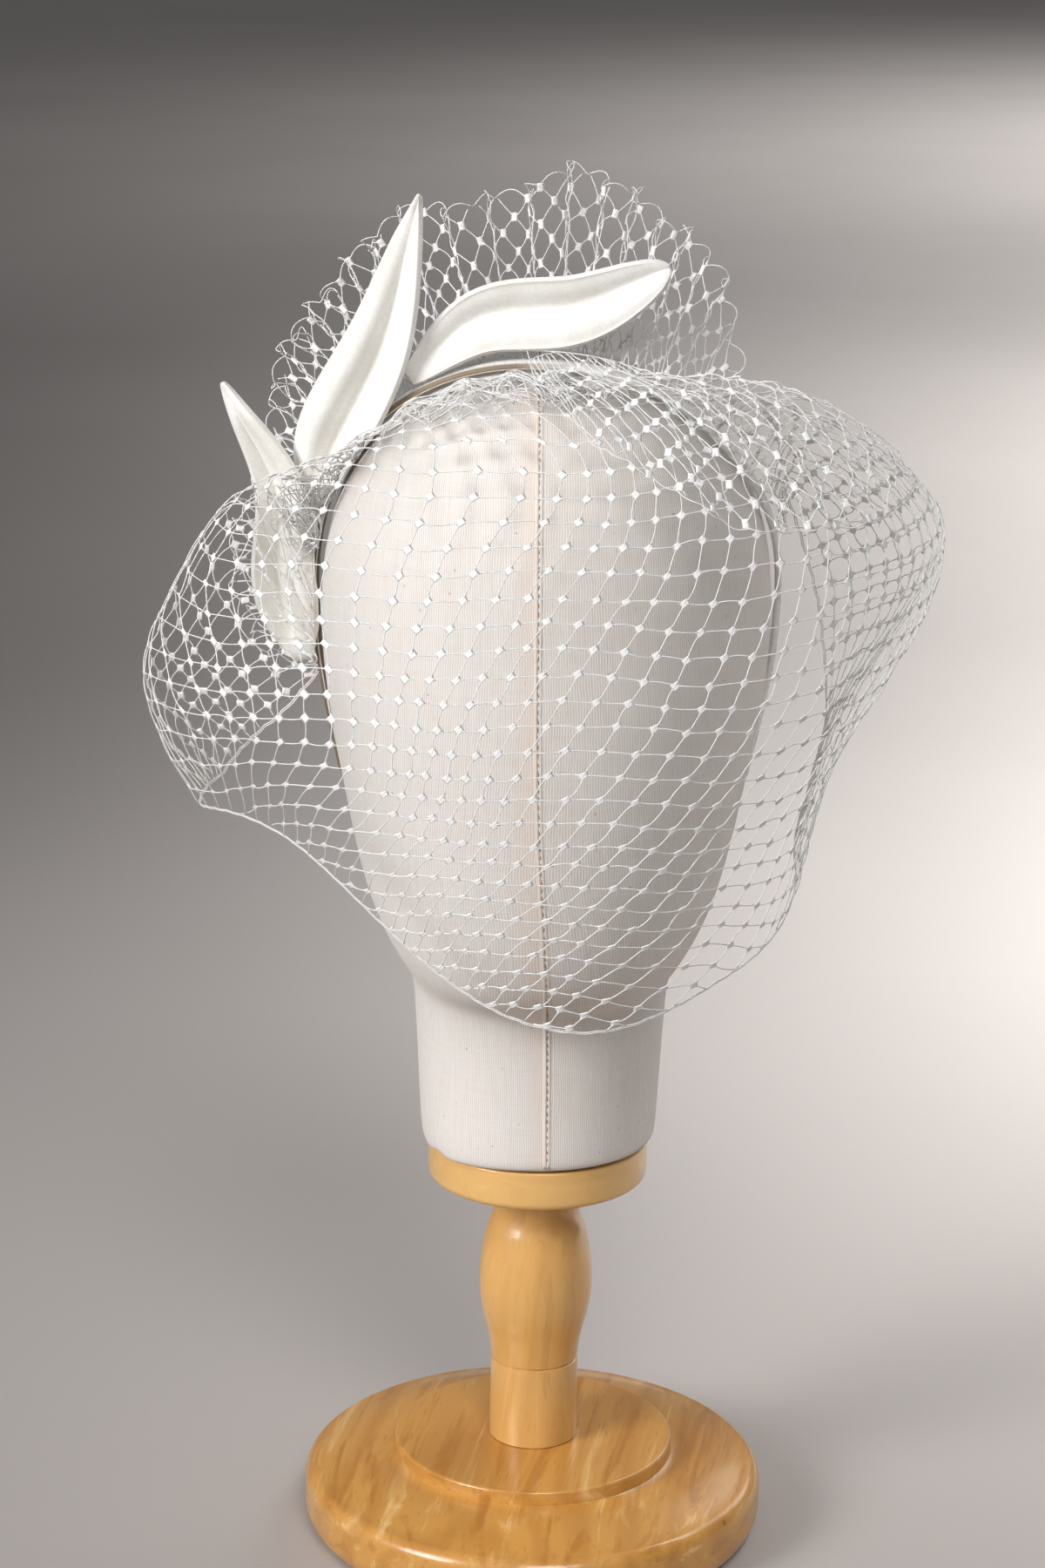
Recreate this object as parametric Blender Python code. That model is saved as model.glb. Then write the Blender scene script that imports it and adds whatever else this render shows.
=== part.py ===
# Birdcage veil on a limbless head form with a turned wooden stand.
# Metres, +Z up. The face side looks along -Y, and the origin is the centre of the base's underside.

import math

import bpy
import bmesh
from mathutils import Vector

# Clearances and walls
SEAM_GAP = 0.0003
NET_WALL = 0.0010
FELT_WALL = 0.0022
BAND_TO_HEAD = 0.0007

# Stand
BASE_RADIUS = 0.0867
BASE_LOW_ROUND = (0.0083, 0.0100)
BASE_SIDE = 0.0073
BASE_TOP_ROUND = (0.0050, 0.0062)
BASE_DOME_RISE = 0.0052
STEP_RADIUS = 0.0526
STEP_HEIGHT = 0.0060
STEP_ROUND = 0.0010
BASE_SEGMENTS = 46
POST_SEGMENTS = 28
COLLAR_SEGMENTS = 40
COLLAR_RADIUS = 0.0408
COLLAR_HEIGHT = 0.0149
COLLAR_ROUND = 0.0030
HEAD_FOOT_Z = 0.1555
BASE_TOP_Z = BASE_LOW_ROUND[1] + BASE_SIDE + BASE_TOP_ROUND[1] + BASE_DOME_RISE + STEP_HEIGHT
COLLAR_TOP_Z = HEAD_FOOT_Z - SEAM_GAP
COLLAR_FOOT_Z = COLLAR_TOP_Z - COLLAR_HEIGHT
POST_FOOT_Z = BASE_TOP_Z + SEAM_GAP
POST_TOP_Z = COLLAR_FOOT_Z - SEAM_GAP

# Turned outline of the post: height above the origin, radius
POST_TURNING = (
    {"z": POST_FOOT_Z, "radius": 0.0166},
    {"z": 0.0500, "radius": 0.0165},
    {"z": 0.0652, "radius": 0.0164},
    {"z": 0.0665, "radius": 0.0159},
    {"z": 0.0678, "radius": 0.0163},
    {"z": 0.0771, "radius": 0.0178},
    {"z": 0.0846, "radius": 0.0197},
    {"z": 0.0920, "radius": 0.0210},
    {"z": 0.0987, "radius": 0.0213},
    {"z": 0.1094, "radius": 0.0205},
    {"z": 0.1189, "radius": 0.0185},
    {"z": 0.1250, "radius": 0.0163},
    {"z": 0.1310, "radius": 0.0156},
    {"z": POST_TOP_Z, "radius": 0.0156},
)

# Head form: the crown is a rounded cap over the widest level, the rest follows this table
CROWN_BASE_Z = 0.3600
CROWN_RISE = 0.0890
HEAD_POWER = 2.15
HEAD_LEVELS = (
    {"z": 0.3600, "half_width": 0.0808, "front": 0.0920, "back": 0.0970},
    {"z": 0.3400, "half_width": 0.0802, "front": 0.0940, "back": 0.0965},
    {"z": 0.3200, "half_width": 0.0775, "front": 0.0945, "back": 0.0925},
    {"z": 0.3000, "half_width": 0.0738, "front": 0.0940, "back": 0.0860},
    {"z": 0.2800, "half_width": 0.0700, "front": 0.0925, "back": 0.0770},
    {"z": 0.2620, "half_width": 0.0660, "front": 0.0895, "back": 0.0670},
    {"z": 0.2490, "half_width": 0.0618, "front": 0.0860, "back": 0.0600},
    {"z": 0.2385, "half_width": 0.0570, "front": 0.0808, "back": 0.0550},
    {"z": 0.2300, "half_width": 0.0522, "front": 0.0735, "back": 0.0512},
    {"z": 0.2240, "half_width": 0.0487, "front": 0.0630, "back": 0.0488},
    {"z": 0.2190, "half_width": 0.0472, "front": 0.0515, "back": 0.0475},
    {"z": 0.2120, "half_width": 0.0464, "front": 0.0470, "back": 0.0467},
    {"z": 0.1930, "half_width": 0.0453, "front": 0.0455, "back": 0.0456},
    {"z": 0.1740, "half_width": 0.0444, "front": 0.0444, "back": 0.0444},
    {"z": 0.1590, "half_width": 0.0436, "front": 0.0436, "back": 0.0436},
    {"z": HEAD_FOOT_Z, "half_width": 0.0424, "front": 0.0424, "back": 0.0424},
)
HEAD_AROUND = 36
CROWN_RINGS = 9

# Hair band: an oval wrapped wire that lies on the head from ear to ear
BAND_HALF_WIDTH = 0.0028
BAND_HALF_THICKNESS = 0.0015
BAND_TIP_ANGLE = 140.0
BAND_LIFT = BAND_TO_HEAD + BAND_HALF_THICKNESS
BAND_STATIONS = 44
BAND_AROUND = 8
# Where the band lies, front to back, at each angle from the crown (left is negative)
BAND_SET = (
    {"angle": -140.0, "y": 0.016},
    {"angle": -110.0, "y": 0.011},
    {"angle": -90.0, "y": 0.006},
    {"angle": -70.0, "y": -0.002},
    {"angle": -40.0, "y": -0.014},
    {"angle": -15.0, "y": -0.024},
    {"angle": 10.0, "y": -0.029},
    {"angle": 35.0, "y": -0.028},
    {"angle": 55.0, "y": -0.020},
    {"angle": 75.0, "y": -0.006},
    {"angle": 90.0, "y": 0.004},
    {"angle": 110.0, "y": 0.011},
    {"angle": 140.0, "y": 0.016},
)

# Face veil: where its columns stand round the head (plan) and where each is gathered to the band
VEIL_COLUMNS = (
    {"plan": -128.0, "band": -109.0},
    {"plan": -90.0, "band": -90.0},
    {"plan": -45.0, "band": -50.0},
    {"plan": 0.0, "band": -5.0},
    {"plan": 45.0, "band": 26.0},
    {"plan": 90.0, "band": 52.0},
    {"plan": 138.0, "band": 72.0},
)
# Rings of the face veil from the band to the hem: reach to each side, and height round the head
VEIL_RINGS = (
    {"left": 0.1095, "front": 0.0720, "right": 0.0900, "z_left": 0.3930,
     "z_left_cheek": 0.4180, "z_front": 0.4330, "z_right_cheek": 0.4420, "z_right": 0.4280},
    {"left": 0.1315, "front": 0.1020, "right": 0.1290, "z_left": 0.3650,
     "z_left_cheek": 0.3880, "z_front": 0.3980, "z_right_cheek": 0.4080, "z_right": 0.4080},
    {"left": 0.1430, "front": 0.1160, "right": 0.1385, "z_left": 0.3350,
     "z_left_cheek": 0.3480, "z_front": 0.3440, "z_right_cheek": 0.3580, "z_right": 0.3790},
    {"left": 0.1365, "front": 0.1120, "right": 0.1065, "z_left": 0.3070,
     "z_left_cheek": 0.3190, "z_front": 0.2840, "z_right_cheek": 0.2980, "z_right": 0.3200},
    {"left": 0.1240, "front": 0.0930, "right": 0.0920, "z_left": 0.2860,
     "z_left_cheek": 0.2900, "z_front": 0.2305, "z_right_cheek": 0.2430, "z_right": 0.2640},
)
VEIL_PLAN_POWER = 2.1
# How far ahead of the band's centre the face veil starts: it passes in front of the leaves
VEIL_START_AHEAD = (
    {"angle": -110.0, "ahead": 0.0090},
    {"angle": -70.0, "ahead": 0.0096},
    {"angle": -40.0, "ahead": 0.0096},
    {"angle": -10.0, "ahead": 0.0070},
    {"angle": 10.0, "ahead": 0.0052},
    {"angle": 75.0, "ahead": 0.0052},
)
# The strip's right end is turned up on to the outer side of the band over these plan angles
VEIL_TURN_PLAN = (75.0, 125.0)
VEIL_SIDE_Y = -0.0080
VEIL_BACK_EVEN = 0.35
# The two free ends of the strip behind the ears, from the band to the hem
VEIL_LEFT_END = (
    {"x": -0.0940, "y": -0.0070, "z": 0.3190},
    {"x": -0.1040, "y": -0.0010, "z": 0.3090},
    {"x": -0.1100, "y": 0.0080, "z": 0.3010},
    {"x": -0.1150, "y": 0.0130, "z": 0.2940},
    {"x": -0.1180, "y": 0.0130, "z": 0.2890},
)
VEIL_RIGHT_END = (
    {"x": 0.0860, "y": 0.0230, "z": 0.3950},
    {"x": 0.0950, "y": 0.0420, "z": 0.3720},
    {"x": 0.1030, "y": 0.0500, "z": 0.3420},
    {"x": 0.1050, "y": 0.0410, "z": 0.3070},
    {"x": 0.0965, "y": 0.0290, "z": 0.2720},
)
VEIL_GATHERS = 23
VEIL_GATHER_DEPTH = 0.0013
VEIL_GATHER_FADE = 0.16
VEIL_COLUMN_STEPS = 92
VEIL_DROP_STEPS = 13
VEIL_ROW_CROWDING = 0.45
VEIL_SLOPE_STEP = 0.004

# Standing frill: reach from the centre of the crown, how far back its top edge leans, and wave depth
FRILL_REACH = (
    {"angle": -112.0, "reach": 0.1030, "lean": 0.026, "depth": 0.0050},
    {"angle": -92.0, "reach": 0.1140, "lean": 0.038, "depth": 0.0085},
    {"angle": -72.0, "reach": 0.1100, "lean": 0.040, "depth": 0.0095},
    {"angle": -60.0, "reach": 0.1140, "lean": 0.040, "depth": 0.0100},
    {"angle": -50.0, "reach": 0.1240, "lean": 0.040, "depth": 0.0105},
    {"angle": -36.0, "reach": 0.1310, "lean": 0.040, "depth": 0.0105},
    {"angle": -23.0, "reach": 0.1410, "lean": 0.042, "depth": 0.0105},
    {"angle": -8.0, "reach": 0.1385, "lean": 0.045, "depth": 0.0105},
    {"angle": 4.0, "reach": 0.1480, "lean": 0.046, "depth": 0.0105},
    {"angle": 16.0, "reach": 0.1380, "lean": 0.044, "depth": 0.0100},
    {"angle": 26.0, "reach": 0.1300, "lean": 0.036, "depth": 0.0080},
    {"angle": 34.0, "reach": 0.1140, "lean": 0.024, "depth": 0.0050},
    {"angle": 40.0, "reach": 0.0990, "lean": 0.010, "depth": 0.0025},
)
FRILL_WAVES = 15
FRILL_WAVE_GROWTH = 0.8
FRILL_WAVE_DRIFT = 0.24
FRILL_DRIFT_CYCLES = 2.3
FRILL_SWAY_SHARE = 0.21
FRILL_DIP_SHARE = 0.19
FRILL_START_LIFT = 0.0004
FRILL_COLUMN_STEPS = 90
FRILL_RISE_STEPS = 6

# Short top layer over the right brow: how far down the face veil it reaches, column by column
TOP_LAYER_EDGE = (
    {"column": 0.500, "drop": 0.080},
    {"column": 0.525, "drop": 0.240},
    {"column": 0.565, "drop": 0.330},
    {"column": 0.600, "drop": 0.400},
    {"column": 0.640, "drop": 0.420},
    {"column": 0.700, "drop": 0.430},
    {"column": 0.760, "drop": 0.400},
    {"column": 0.785, "drop": 0.350},
)
TOP_LAYER_LIFT = 0.0046
TOP_LAYER_START_TURN = 80.0
TOP_LAYER_START_AHEAD = 0.0062
TOP_LAYER_START_ABOVE = 0.0060
TOP_LAYER_START_FADE = 0.08
TOP_LAYER_SLOPE_FROM = 0.02
TOP_LAYER_WAVES = 8
TOP_LAYER_WAVE_DEPTH = 0.0014
TOP_LAYER_WAVE_START = 0.4
TOP_LAYER_COLUMN_STEPS = 40
TOP_LAYER_DROP_STEPS = 6

# Felt leaves: midrib from foot to tip in the plane of the band, seen from the front as (x, z).
# The edges lie ahead of the band, the inner one further, and the midrib cups back from them.
LEAVES = (
    {"name": "leaf_low", "foot": -108.0, "belly": (-0.0938, 0.3630), "shoulder": (-0.0950, 0.4000),
     "tip": (-0.1149, 0.4372), "half_width": 0.0112, "fullest": 0.31, "tip_fullness": 0.60,
     "ahead_inner": 0.0056, "ahead_outer": 0.0034, "cup": 0.0052},
    {"name": "leaf_tall", "foot": -66.0, "belly": (-0.0768, 0.4190), "shoulder": (-0.0590, 0.4565),
     "tip": (-0.0457, 0.5040), "half_width": 0.0131, "fullest": 0.48, "tip_fullness": 0.72,
     "ahead_inner": 0.0074, "ahead_outer": -0.0010, "cup": 0.0062},
    {"name": "leaf_top", "foot": -31.0, "belly": (-0.0240, 0.4622), "shoulder": (0.0090, 0.4684),
     "tip": (0.0403, 0.4850), "half_width": 0.0120, "fullest": 0.48, "tip_fullness": 0.48,
     "ahead_inner": 0.0022, "ahead_outer": 0.0000, "cup": 0.0044},
)
LEAF_LENGTH_STEPS = 12
LEAF_ACROSS_STEPS = 6
LEAF_FOOT_SHARE = 0.16
LEAF_TO_HEAD = 0.0008
LEAF_FOOT_RAISE = 0.0014
LEAF_TIP_SHARE = 0.13
LEAF_AHEAD_FROM = (0.10, 0.42)
LEAF_RIB_STEP = 0.02


# Interpolation through the rows of a table

def cubic(before, start, end, after, share):
    square = share * share
    cube = square * share
    return 0.5 * (2.0 * start + (end - before) * share
                  + (2.0 * before - 5.0 * start + 4.0 * end - after) * square
                  + (3.0 * start - before - 3.0 * end + after) * cube)


def through(values, place):
    # Smooth value at a place from 0 to len(values) - 1
    last = len(values) - 1
    index = min(int(place), last - 1)
    share = place - index
    start = values[index]
    end = values[index + 1]
    before = values[index - 1] if index > 0 else 2.0 * start - end
    after = values[index + 2] if index + 2 <= last else 2.0 * end - start
    return cubic(before, start, end, after, share)


def place_of(rows, key, value):
    # Place along a table's rows where its key column reaches the value
    for index in range(len(rows) - 1):
        low = rows[index][key]
        high = rows[index + 1][key]
        if min(low, high) <= value <= max(low, high):
            return index + (value - low) / (high - low)
    nearer_start = abs(value - rows[0][key]) < abs(value - rows[-1][key])
    return 0.0 if nearer_start else float(len(rows) - 1)


def table_value(rows, key, place):
    return through([row[key] for row in rows], place)


def power_pair(angle, power):
    # Sine and cosine of a rounded-square outline
    sine = math.sin(angle)
    cosine = math.cos(angle)
    return (math.copysign(abs(sine) ** (2.0 / power), sine),
            math.copysign(abs(cosine) ** (2.0 / power), cosine))


# Materials

def material(name, colour, roughness, metallic=0.0):
    found = bpy.data.materials.new(name)
    found.use_nodes = True
    shader = found.node_tree.nodes["Principled BSDF"]
    shader.inputs["Base Color"].default_value = (*colour, 1.0)
    shader.inputs["Roughness"].default_value = roughness
    shader.inputs["Metallic"].default_value = metallic
    return found


# Mesh helpers

def finish(name, bm, look, smooth_angle=40.0):
    bmesh.ops.recalc_face_normals(bm, faces=bm.faces)
    mesh = bpy.data.meshes.new(name)
    bm.to_mesh(mesh)
    bm.free()
    mesh.shade_smooth()
    mesh.set_sharp_from_angle(angle=math.radians(smooth_angle))
    mesh.materials.append(look)
    obj = bpy.data.objects.new(name, mesh)
    bpy.context.scene.collection.objects.link(obj)
    return obj


def turned(name, outline, segments, look):
    # A solid of revolution from (radius, height) points that start and end on the axis
    bm = bmesh.new()
    verts = [bm.verts.new((radius, 0.0, height)) for radius, height in outline]
    edges = [bm.edges.new(pair) for pair in zip(verts, verts[1:])]
    bmesh.ops.spin(bm, geom=verts + edges, cent=(0.0, 0.0, 0.0), axis=(0.0, 0.0, 1.0),
                   angle=math.tau, steps=segments, use_merge=True)
    bmesh.ops.remove_doubles(bm, verts=bm.verts, dist=0.00001)
    return finish(name, bm, look)


def quarter_round(centre, radii, start_degrees, steps=5):
    points = []
    for step in range(steps + 1):
        angle = math.radians(start_degrees + 90.0 * step / steps)
        points.append((centre[0] + radii[0] * math.cos(angle), centre[1] + radii[1] * math.sin(angle)))
    return points


def closed_loft(name, rings, look):
    # Rings of points, all of one length, closed with a fan at each end
    bm = bmesh.new()
    loops = [[bm.verts.new(point) for point in ring] for ring in rings]
    count = len(rings[0])
    for low, high in zip(loops, loops[1:]):
        for index in range(count):
            following = (index + 1) % count
            bm.faces.new((low[index], low[following], high[following], high[index]))
    for ring, loop in ((rings[0], loops[0]), (rings[-1], loops[-1])):
        centre = sum((Vector(point) for point in ring), Vector()) / count
        hub = bm.verts.new(centre)
        for index in range(count):
            bm.faces.new((loop[index], loop[(index + 1) % count], hub))
    return finish(name, bm, look)


def cloth_wall(name, grid, wall, look):
    # An open sheet of points, thickened evenly to both sides into one closed wall
    bm = bmesh.new()
    rows = [[bm.verts.new(point) for point in row] for row in grid]
    for low, high in zip(rows, rows[1:]):
        for index in range(len(low) - 1):
            bm.faces.new((low[index], low[index + 1], high[index + 1], high[index]))
    obj = finish(name, bm, look, 60.0)
    shell = obj.modifiers.new("wall", "SOLIDIFY")
    shell.thickness = wall
    shell.offset = 0.0
    shell.use_even_offset = False
    return obj


# Stand

def build_base(look):
    low_width, low_rise = BASE_LOW_ROUND
    top_width, top_rise = BASE_TOP_ROUND
    side_top = low_rise + BASE_SIDE
    rim_top = side_top + top_rise
    step_foot = rim_top + BASE_DOME_RISE
    outline = [(0.0, 0.0)]
    outline += quarter_round((BASE_RADIUS - low_width, low_rise), (low_width, low_rise), -90.0)
    outline += quarter_round((BASE_RADIUS - top_width, side_top), (top_width, top_rise), 0.0)
    dome_start = BASE_RADIUS - top_width
    for share in (0.25, 0.5, 0.75):
        radius = dome_start + (STEP_RADIUS - dome_start) * share
        outline.append((radius, rim_top + BASE_DOME_RISE * math.sin(share * math.pi / 2.0)))
    outline.append((STEP_RADIUS, step_foot))
    outline += quarter_round((STEP_RADIUS - STEP_ROUND, BASE_TOP_Z - STEP_ROUND),
                             (STEP_ROUND, STEP_ROUND), 0.0, 2)
    outline.append((0.0, BASE_TOP_Z))
    return turned("stand_base", outline, BASE_SEGMENTS, look)


def build_post(look):
    outline = [(0.0, POST_FOOT_Z)]
    outline += [(row["radius"], row["z"]) for row in POST_TURNING]
    outline.append((0.0, POST_TOP_Z))
    return turned("stand_post", outline, POST_SEGMENTS, look)


def build_collar(look):
    outline = [(0.0, COLLAR_FOOT_Z)]
    outline += quarter_round((COLLAR_RADIUS - COLLAR_ROUND, COLLAR_FOOT_Z + COLLAR_ROUND),
                             (COLLAR_ROUND, COLLAR_ROUND), -90.0, 3)
    outline.append((COLLAR_RADIUS, COLLAR_TOP_Z))
    outline.append((0.0, COLLAR_TOP_Z))
    return turned("neck_collar", outline, COLLAR_SEGMENTS, look)


# Head form

def head_ring(half_width, front, back, height):
    ring = []
    for step in range(HEAD_AROUND):
        sine, cosine = power_pair(math.tau * step / HEAD_AROUND, HEAD_POWER)
        depth = front if sine < 0.0 else back
        ring.append((half_width * cosine, depth * sine, height))
    return ring


def build_head(look):
    rings = [head_ring(row["half_width"], row["front"], row["back"], row["z"])
             for row in reversed(HEAD_LEVELS)]
    widest = HEAD_LEVELS[0]
    for step in range(1, CROWN_RINGS):
        rise, shrink = power_pair(math.pi / 2.0 * step / CROWN_RINGS, HEAD_POWER)
        rings.append(head_ring(widest["half_width"] * shrink, widest["front"] * shrink,
                               widest["back"] * shrink, CROWN_BASE_Z + CROWN_RISE * rise))
    return closed_loft("head_form", rings, look)


# Hair band

def head_level(height):
    place = place_of(HEAD_LEVELS, "z", height)
    return (table_value(HEAD_LEVELS, "half_width", place), table_value(HEAD_LEVELS, "front", place))


def band_point(angle):
    # Point of the head's surface under the band, at an angle from the crown in degrees
    y = table_value(BAND_SET, "y", place_of(BAND_SET, "angle", angle))
    side = math.copysign(1.0, angle)
    widest = HEAD_LEVELS[0]
    if abs(angle) <= 90.0:
        turn = math.radians(abs(angle))
        depth = widest["front"] if y < 0.0 else widest["back"]
        left_over = 1.0 - abs(y / depth) ** HEAD_POWER
        spread = (math.sin(turn) / widest["half_width"]) ** HEAD_POWER
        spread += (math.cos(turn) / CROWN_RISE) ** HEAD_POWER
        radius = (left_over / spread) ** (1.0 / HEAD_POWER)
        return Vector((side * radius * math.sin(turn), y, CROWN_BASE_Z + radius * math.cos(turn)))
    drop = math.radians(abs(angle) - 90.0) * widest["half_width"]
    height = CROWN_BASE_Z - drop
    half_width, front = head_level(height)
    reach = half_width * (1.0 - abs(y / front) ** HEAD_POWER) ** (1.0 / HEAD_POWER)
    return Vector((side * reach, y, height))


def band_frame(angle):
    # Point on the head, outward direction, and forward direction at an angle of the band
    point = band_point(angle)
    ahead = band_point(min(angle + 1.0, BAND_TIP_ANGLE))
    behind = band_point(max(angle - 1.0, -BAND_TIP_ANGLE))
    along = (ahead - behind).normalized()
    rise = max(point.z - CROWN_BASE_Z, 0.0)
    widest = HEAD_LEVELS[0]
    outward = Vector((point.x / widest["half_width"] ** 2, point.y / widest["front"] ** 2,
                      rise / CROWN_RISE ** 2))
    outward = (outward - along * outward.dot(along)).normalized()
    forward = along.cross(outward).normalized()
    if forward.y > 0.0:
        forward.negate()
    return point, outward, forward


def build_band(look):
    rings = []
    for station in range(BAND_STATIONS + 1):
        angle = -BAND_TIP_ANGLE + 2.0 * BAND_TIP_ANGLE * station / BAND_STATIONS
        point, outward, forward = band_frame(angle)
        centre = point + outward * BAND_LIFT
        ring = []
        for step in range(BAND_AROUND):
            turn = math.tau * (step + 0.5) / BAND_AROUND
            ring.append(centre + forward * (BAND_HALF_WIDTH * math.cos(turn))
                        + outward * (BAND_HALF_THICKNESS * math.sin(turn)))
        rings.append(ring)
    return closed_loft("hair_band", rings, look)


# Face veil

def ring_point(ring, left_end, right_end, plan):
    # Point of one ring of the face veil at a plan angle in degrees from the front
    if abs(plan) <= 90.0:
        side = "left" if plan < 0.0 else "right"
        sine, cosine = power_pair(math.radians(abs(plan)), VEIL_PLAN_POWER)
        heights = (ring["z_left"], ring["z_left_cheek"], ring["z_front"],
                   ring["z_right_cheek"], ring["z_right"])
        height = through(heights, (plan + 90.0) / 45.0)
        x = math.copysign(ring[side] * sine, plan)
        return Vector((x, VEIL_SIDE_Y - (ring["front"] + VEIL_SIDE_Y) * cosine, height))
    side = "left" if plan < 0.0 else "right"
    end = left_end if plan < 0.0 else right_end
    reach = -ring["left"] if plan < 0.0 else ring["right"]
    height = ring["z_" + side]
    last = abs(VEIL_COLUMNS[0]["plan"] if plan < 0.0 else VEIL_COLUMNS[-1]["plan"])
    share = (abs(plan) - 90.0) / (last - 90.0)
    turn = share * math.pi / 2.0
    back = VEIL_BACK_EVEN * share + (1.0 - VEIL_BACK_EVEN) * math.sin(turn)
    return Vector((end["x"] + (reach - end["x"]) * math.cos(turn),
                   VEIL_SIDE_Y + (end["y"] - VEIL_SIDE_Y) * back,
                   height + (end["z"] - height) * share))


def smooth_share(value, low, high):
    share = min(max((value - low) / (high - low), 0.0), 1.0)
    return share * share * (3.0 - 2.0 * share)


def band_side(angle, turn, ahead, above):
    # A point on an oval round the band: turn 0 lies in front of it, 90 degrees on its outer side
    point, outward, forward = band_frame(angle)
    return (point + outward * (BAND_LIFT + above * math.sin(turn))
            + forward * (ahead * math.cos(turn)))


def veil_start_turn(plan):
    return smooth_share(plan, *VEIL_TURN_PLAN) * math.pi / 2.0


def veil_start(angle, plan):
    ahead = table_value(VEIL_START_AHEAD, "ahead", place_of(VEIL_START_AHEAD, "angle", angle))
    above = BAND_HALF_THICKNESS + SEAM_GAP + NET_WALL / 2.0 + VEIL_GATHER_DEPTH
    return band_side(angle, veil_start_turn(plan), ahead, above)


def veil_base_point(column, drop):
    # Face veil without its gathers; column 0 is the left end, drop 0 is the band
    place = column * (len(VEIL_COLUMNS) - 1)
    plan = table_value(VEIL_COLUMNS, "plan", place)
    angle = table_value(VEIL_COLUMNS, "band", place)
    stations = [veil_start(angle, plan)]
    for ring, left_end, right_end in zip(VEIL_RINGS, VEIL_LEFT_END, VEIL_RIGHT_END):
        stations.append(ring_point(ring, left_end, right_end, plan))
    along = drop * (len(stations) - 1)
    return Vector([through([station[axis] for station in stations], along) for axis in range(3)])


def outward_of(column, drop):
    # Direction square to the face veil, on the side away from the head
    low_column = max(column - VEIL_SLOPE_STEP, 0.0)
    high_column = min(column + VEIL_SLOPE_STEP, 1.0)
    low_drop = max(drop - VEIL_SLOPE_STEP, 0.0)
    high_drop = min(drop + VEIL_SLOPE_STEP, 1.0)
    across = veil_base_point(high_column, drop) - veil_base_point(low_column, drop)
    down = veil_base_point(column, high_drop) - veil_base_point(column, low_drop)
    return down.cross(across).normalized()


def veil_point(column, drop):
    fade = math.exp(-drop / VEIL_GATHER_FADE)
    wave = math.sin(math.tau * VEIL_GATHERS * column)
    return veil_base_point(column, drop) + outward_of(column, drop) * (VEIL_GATHER_DEPTH * fade * wave)


def drop_share(step, steps):
    # Rows lie closer together near the band, where the gathers are
    share = step / steps
    return VEIL_ROW_CROWDING * share * share + (1.0 - VEIL_ROW_CROWDING) * share


def build_face_veil(look):
    grid = []
    for row in range(VEIL_DROP_STEPS + 1):
        drop = drop_share(row, VEIL_DROP_STEPS)
        grid.append([veil_point(column / VEIL_COLUMN_STEPS, drop)
                     for column in range(VEIL_COLUMN_STEPS + 1)])
    return cloth_wall("veil_face", grid, NET_WALL, look)


# Standing frill

def frill_point(along, rise):
    first = FRILL_REACH[0]["angle"]
    last = FRILL_REACH[-1]["angle"]
    angle = first + (last - first) * along
    place = place_of(FRILL_REACH, "angle", angle)
    reach = table_value(FRILL_REACH, "reach", place)
    lean = table_value(FRILL_REACH, "lean", place)
    depth = table_value(FRILL_REACH, "depth", place)
    point, outward, forward = band_frame(angle)
    edge = BAND_HALF_WIDTH + SEAM_GAP + NET_WALL / 2.0
    foot = point + outward * (BAND_LIFT + FRILL_START_LIFT) - forward * edge
    turn = math.radians(angle)
    top = Vector((reach * math.sin(turn), foot.y + lean, CROWN_BASE_Z + reach * math.cos(turn)))
    bow = math.sin(rise * math.pi / 2.0)
    body = foot.lerp(top, rise)
    body.y = foot.y + lean * bow
    drift = FRILL_WAVE_DRIFT * math.sin(math.tau * FRILL_DRIFT_CYCLES * along)
    phase = math.tau * (FRILL_WAVES * along + drift)
    body.y += depth * rise ** FRILL_WAVE_GROWTH * math.sin(phase)
    sway = FRILL_SWAY_SHARE * depth * rise * math.cos(2.0 * phase)
    dip = FRILL_DIP_SHARE * depth * rise * math.cos(phase)
    return (body + Vector((math.cos(turn), 0.0, -math.sin(turn))) * sway
            + Vector((math.sin(turn), 0.0, math.cos(turn))) * dip)


def build_frill(look):
    grid = []
    for row in range(FRILL_RISE_STEPS + 1):
        rise = row / FRILL_RISE_STEPS
        grid.append([frill_point(column / FRILL_COLUMN_STEPS, rise)
                     for column in range(FRILL_COLUMN_STEPS + 1)])
    return cloth_wall("veil_frill", grid, NET_WALL, look)


# Short top layer, made from the face veil's points moved out

def top_layer_point(along, share):
    first = TOP_LAYER_EDGE[0]["column"]
    last = TOP_LAYER_EDGE[-1]["column"]
    column = first + (last - first) * along
    edge = table_value(TOP_LAYER_EDGE, "drop", place_of(TOP_LAYER_EDGE, "column", column))
    drop = edge * share
    wave = math.sin(math.tau * TOP_LAYER_WAVES * along)
    growth = TOP_LAYER_WAVE_START + (1.0 - TOP_LAYER_WAVE_START) * share
    lift = TOP_LAYER_LIFT + TOP_LAYER_WAVE_DEPTH * wave * growth
    base = veil_base_point(column, drop)
    place = column * (len(VEIL_COLUMNS) - 1)
    plan = table_value(VEIL_COLUMNS, "plan", place)
    angle = table_value(VEIL_COLUMNS, "band", place)
    turn = veil_start_turn(plan) + math.radians(TOP_LAYER_START_TURN)
    start = band_side(angle, turn, TOP_LAYER_START_AHEAD, TOP_LAYER_START_ABOVE)
    seam = start - veil_base_point(column, 0.0)
    away = outward_of(column, max(drop, TOP_LAYER_SLOPE_FROM)) * lift
    return base + seam.lerp(away, smooth_share(drop, 0.0, TOP_LAYER_START_FADE))


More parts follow.
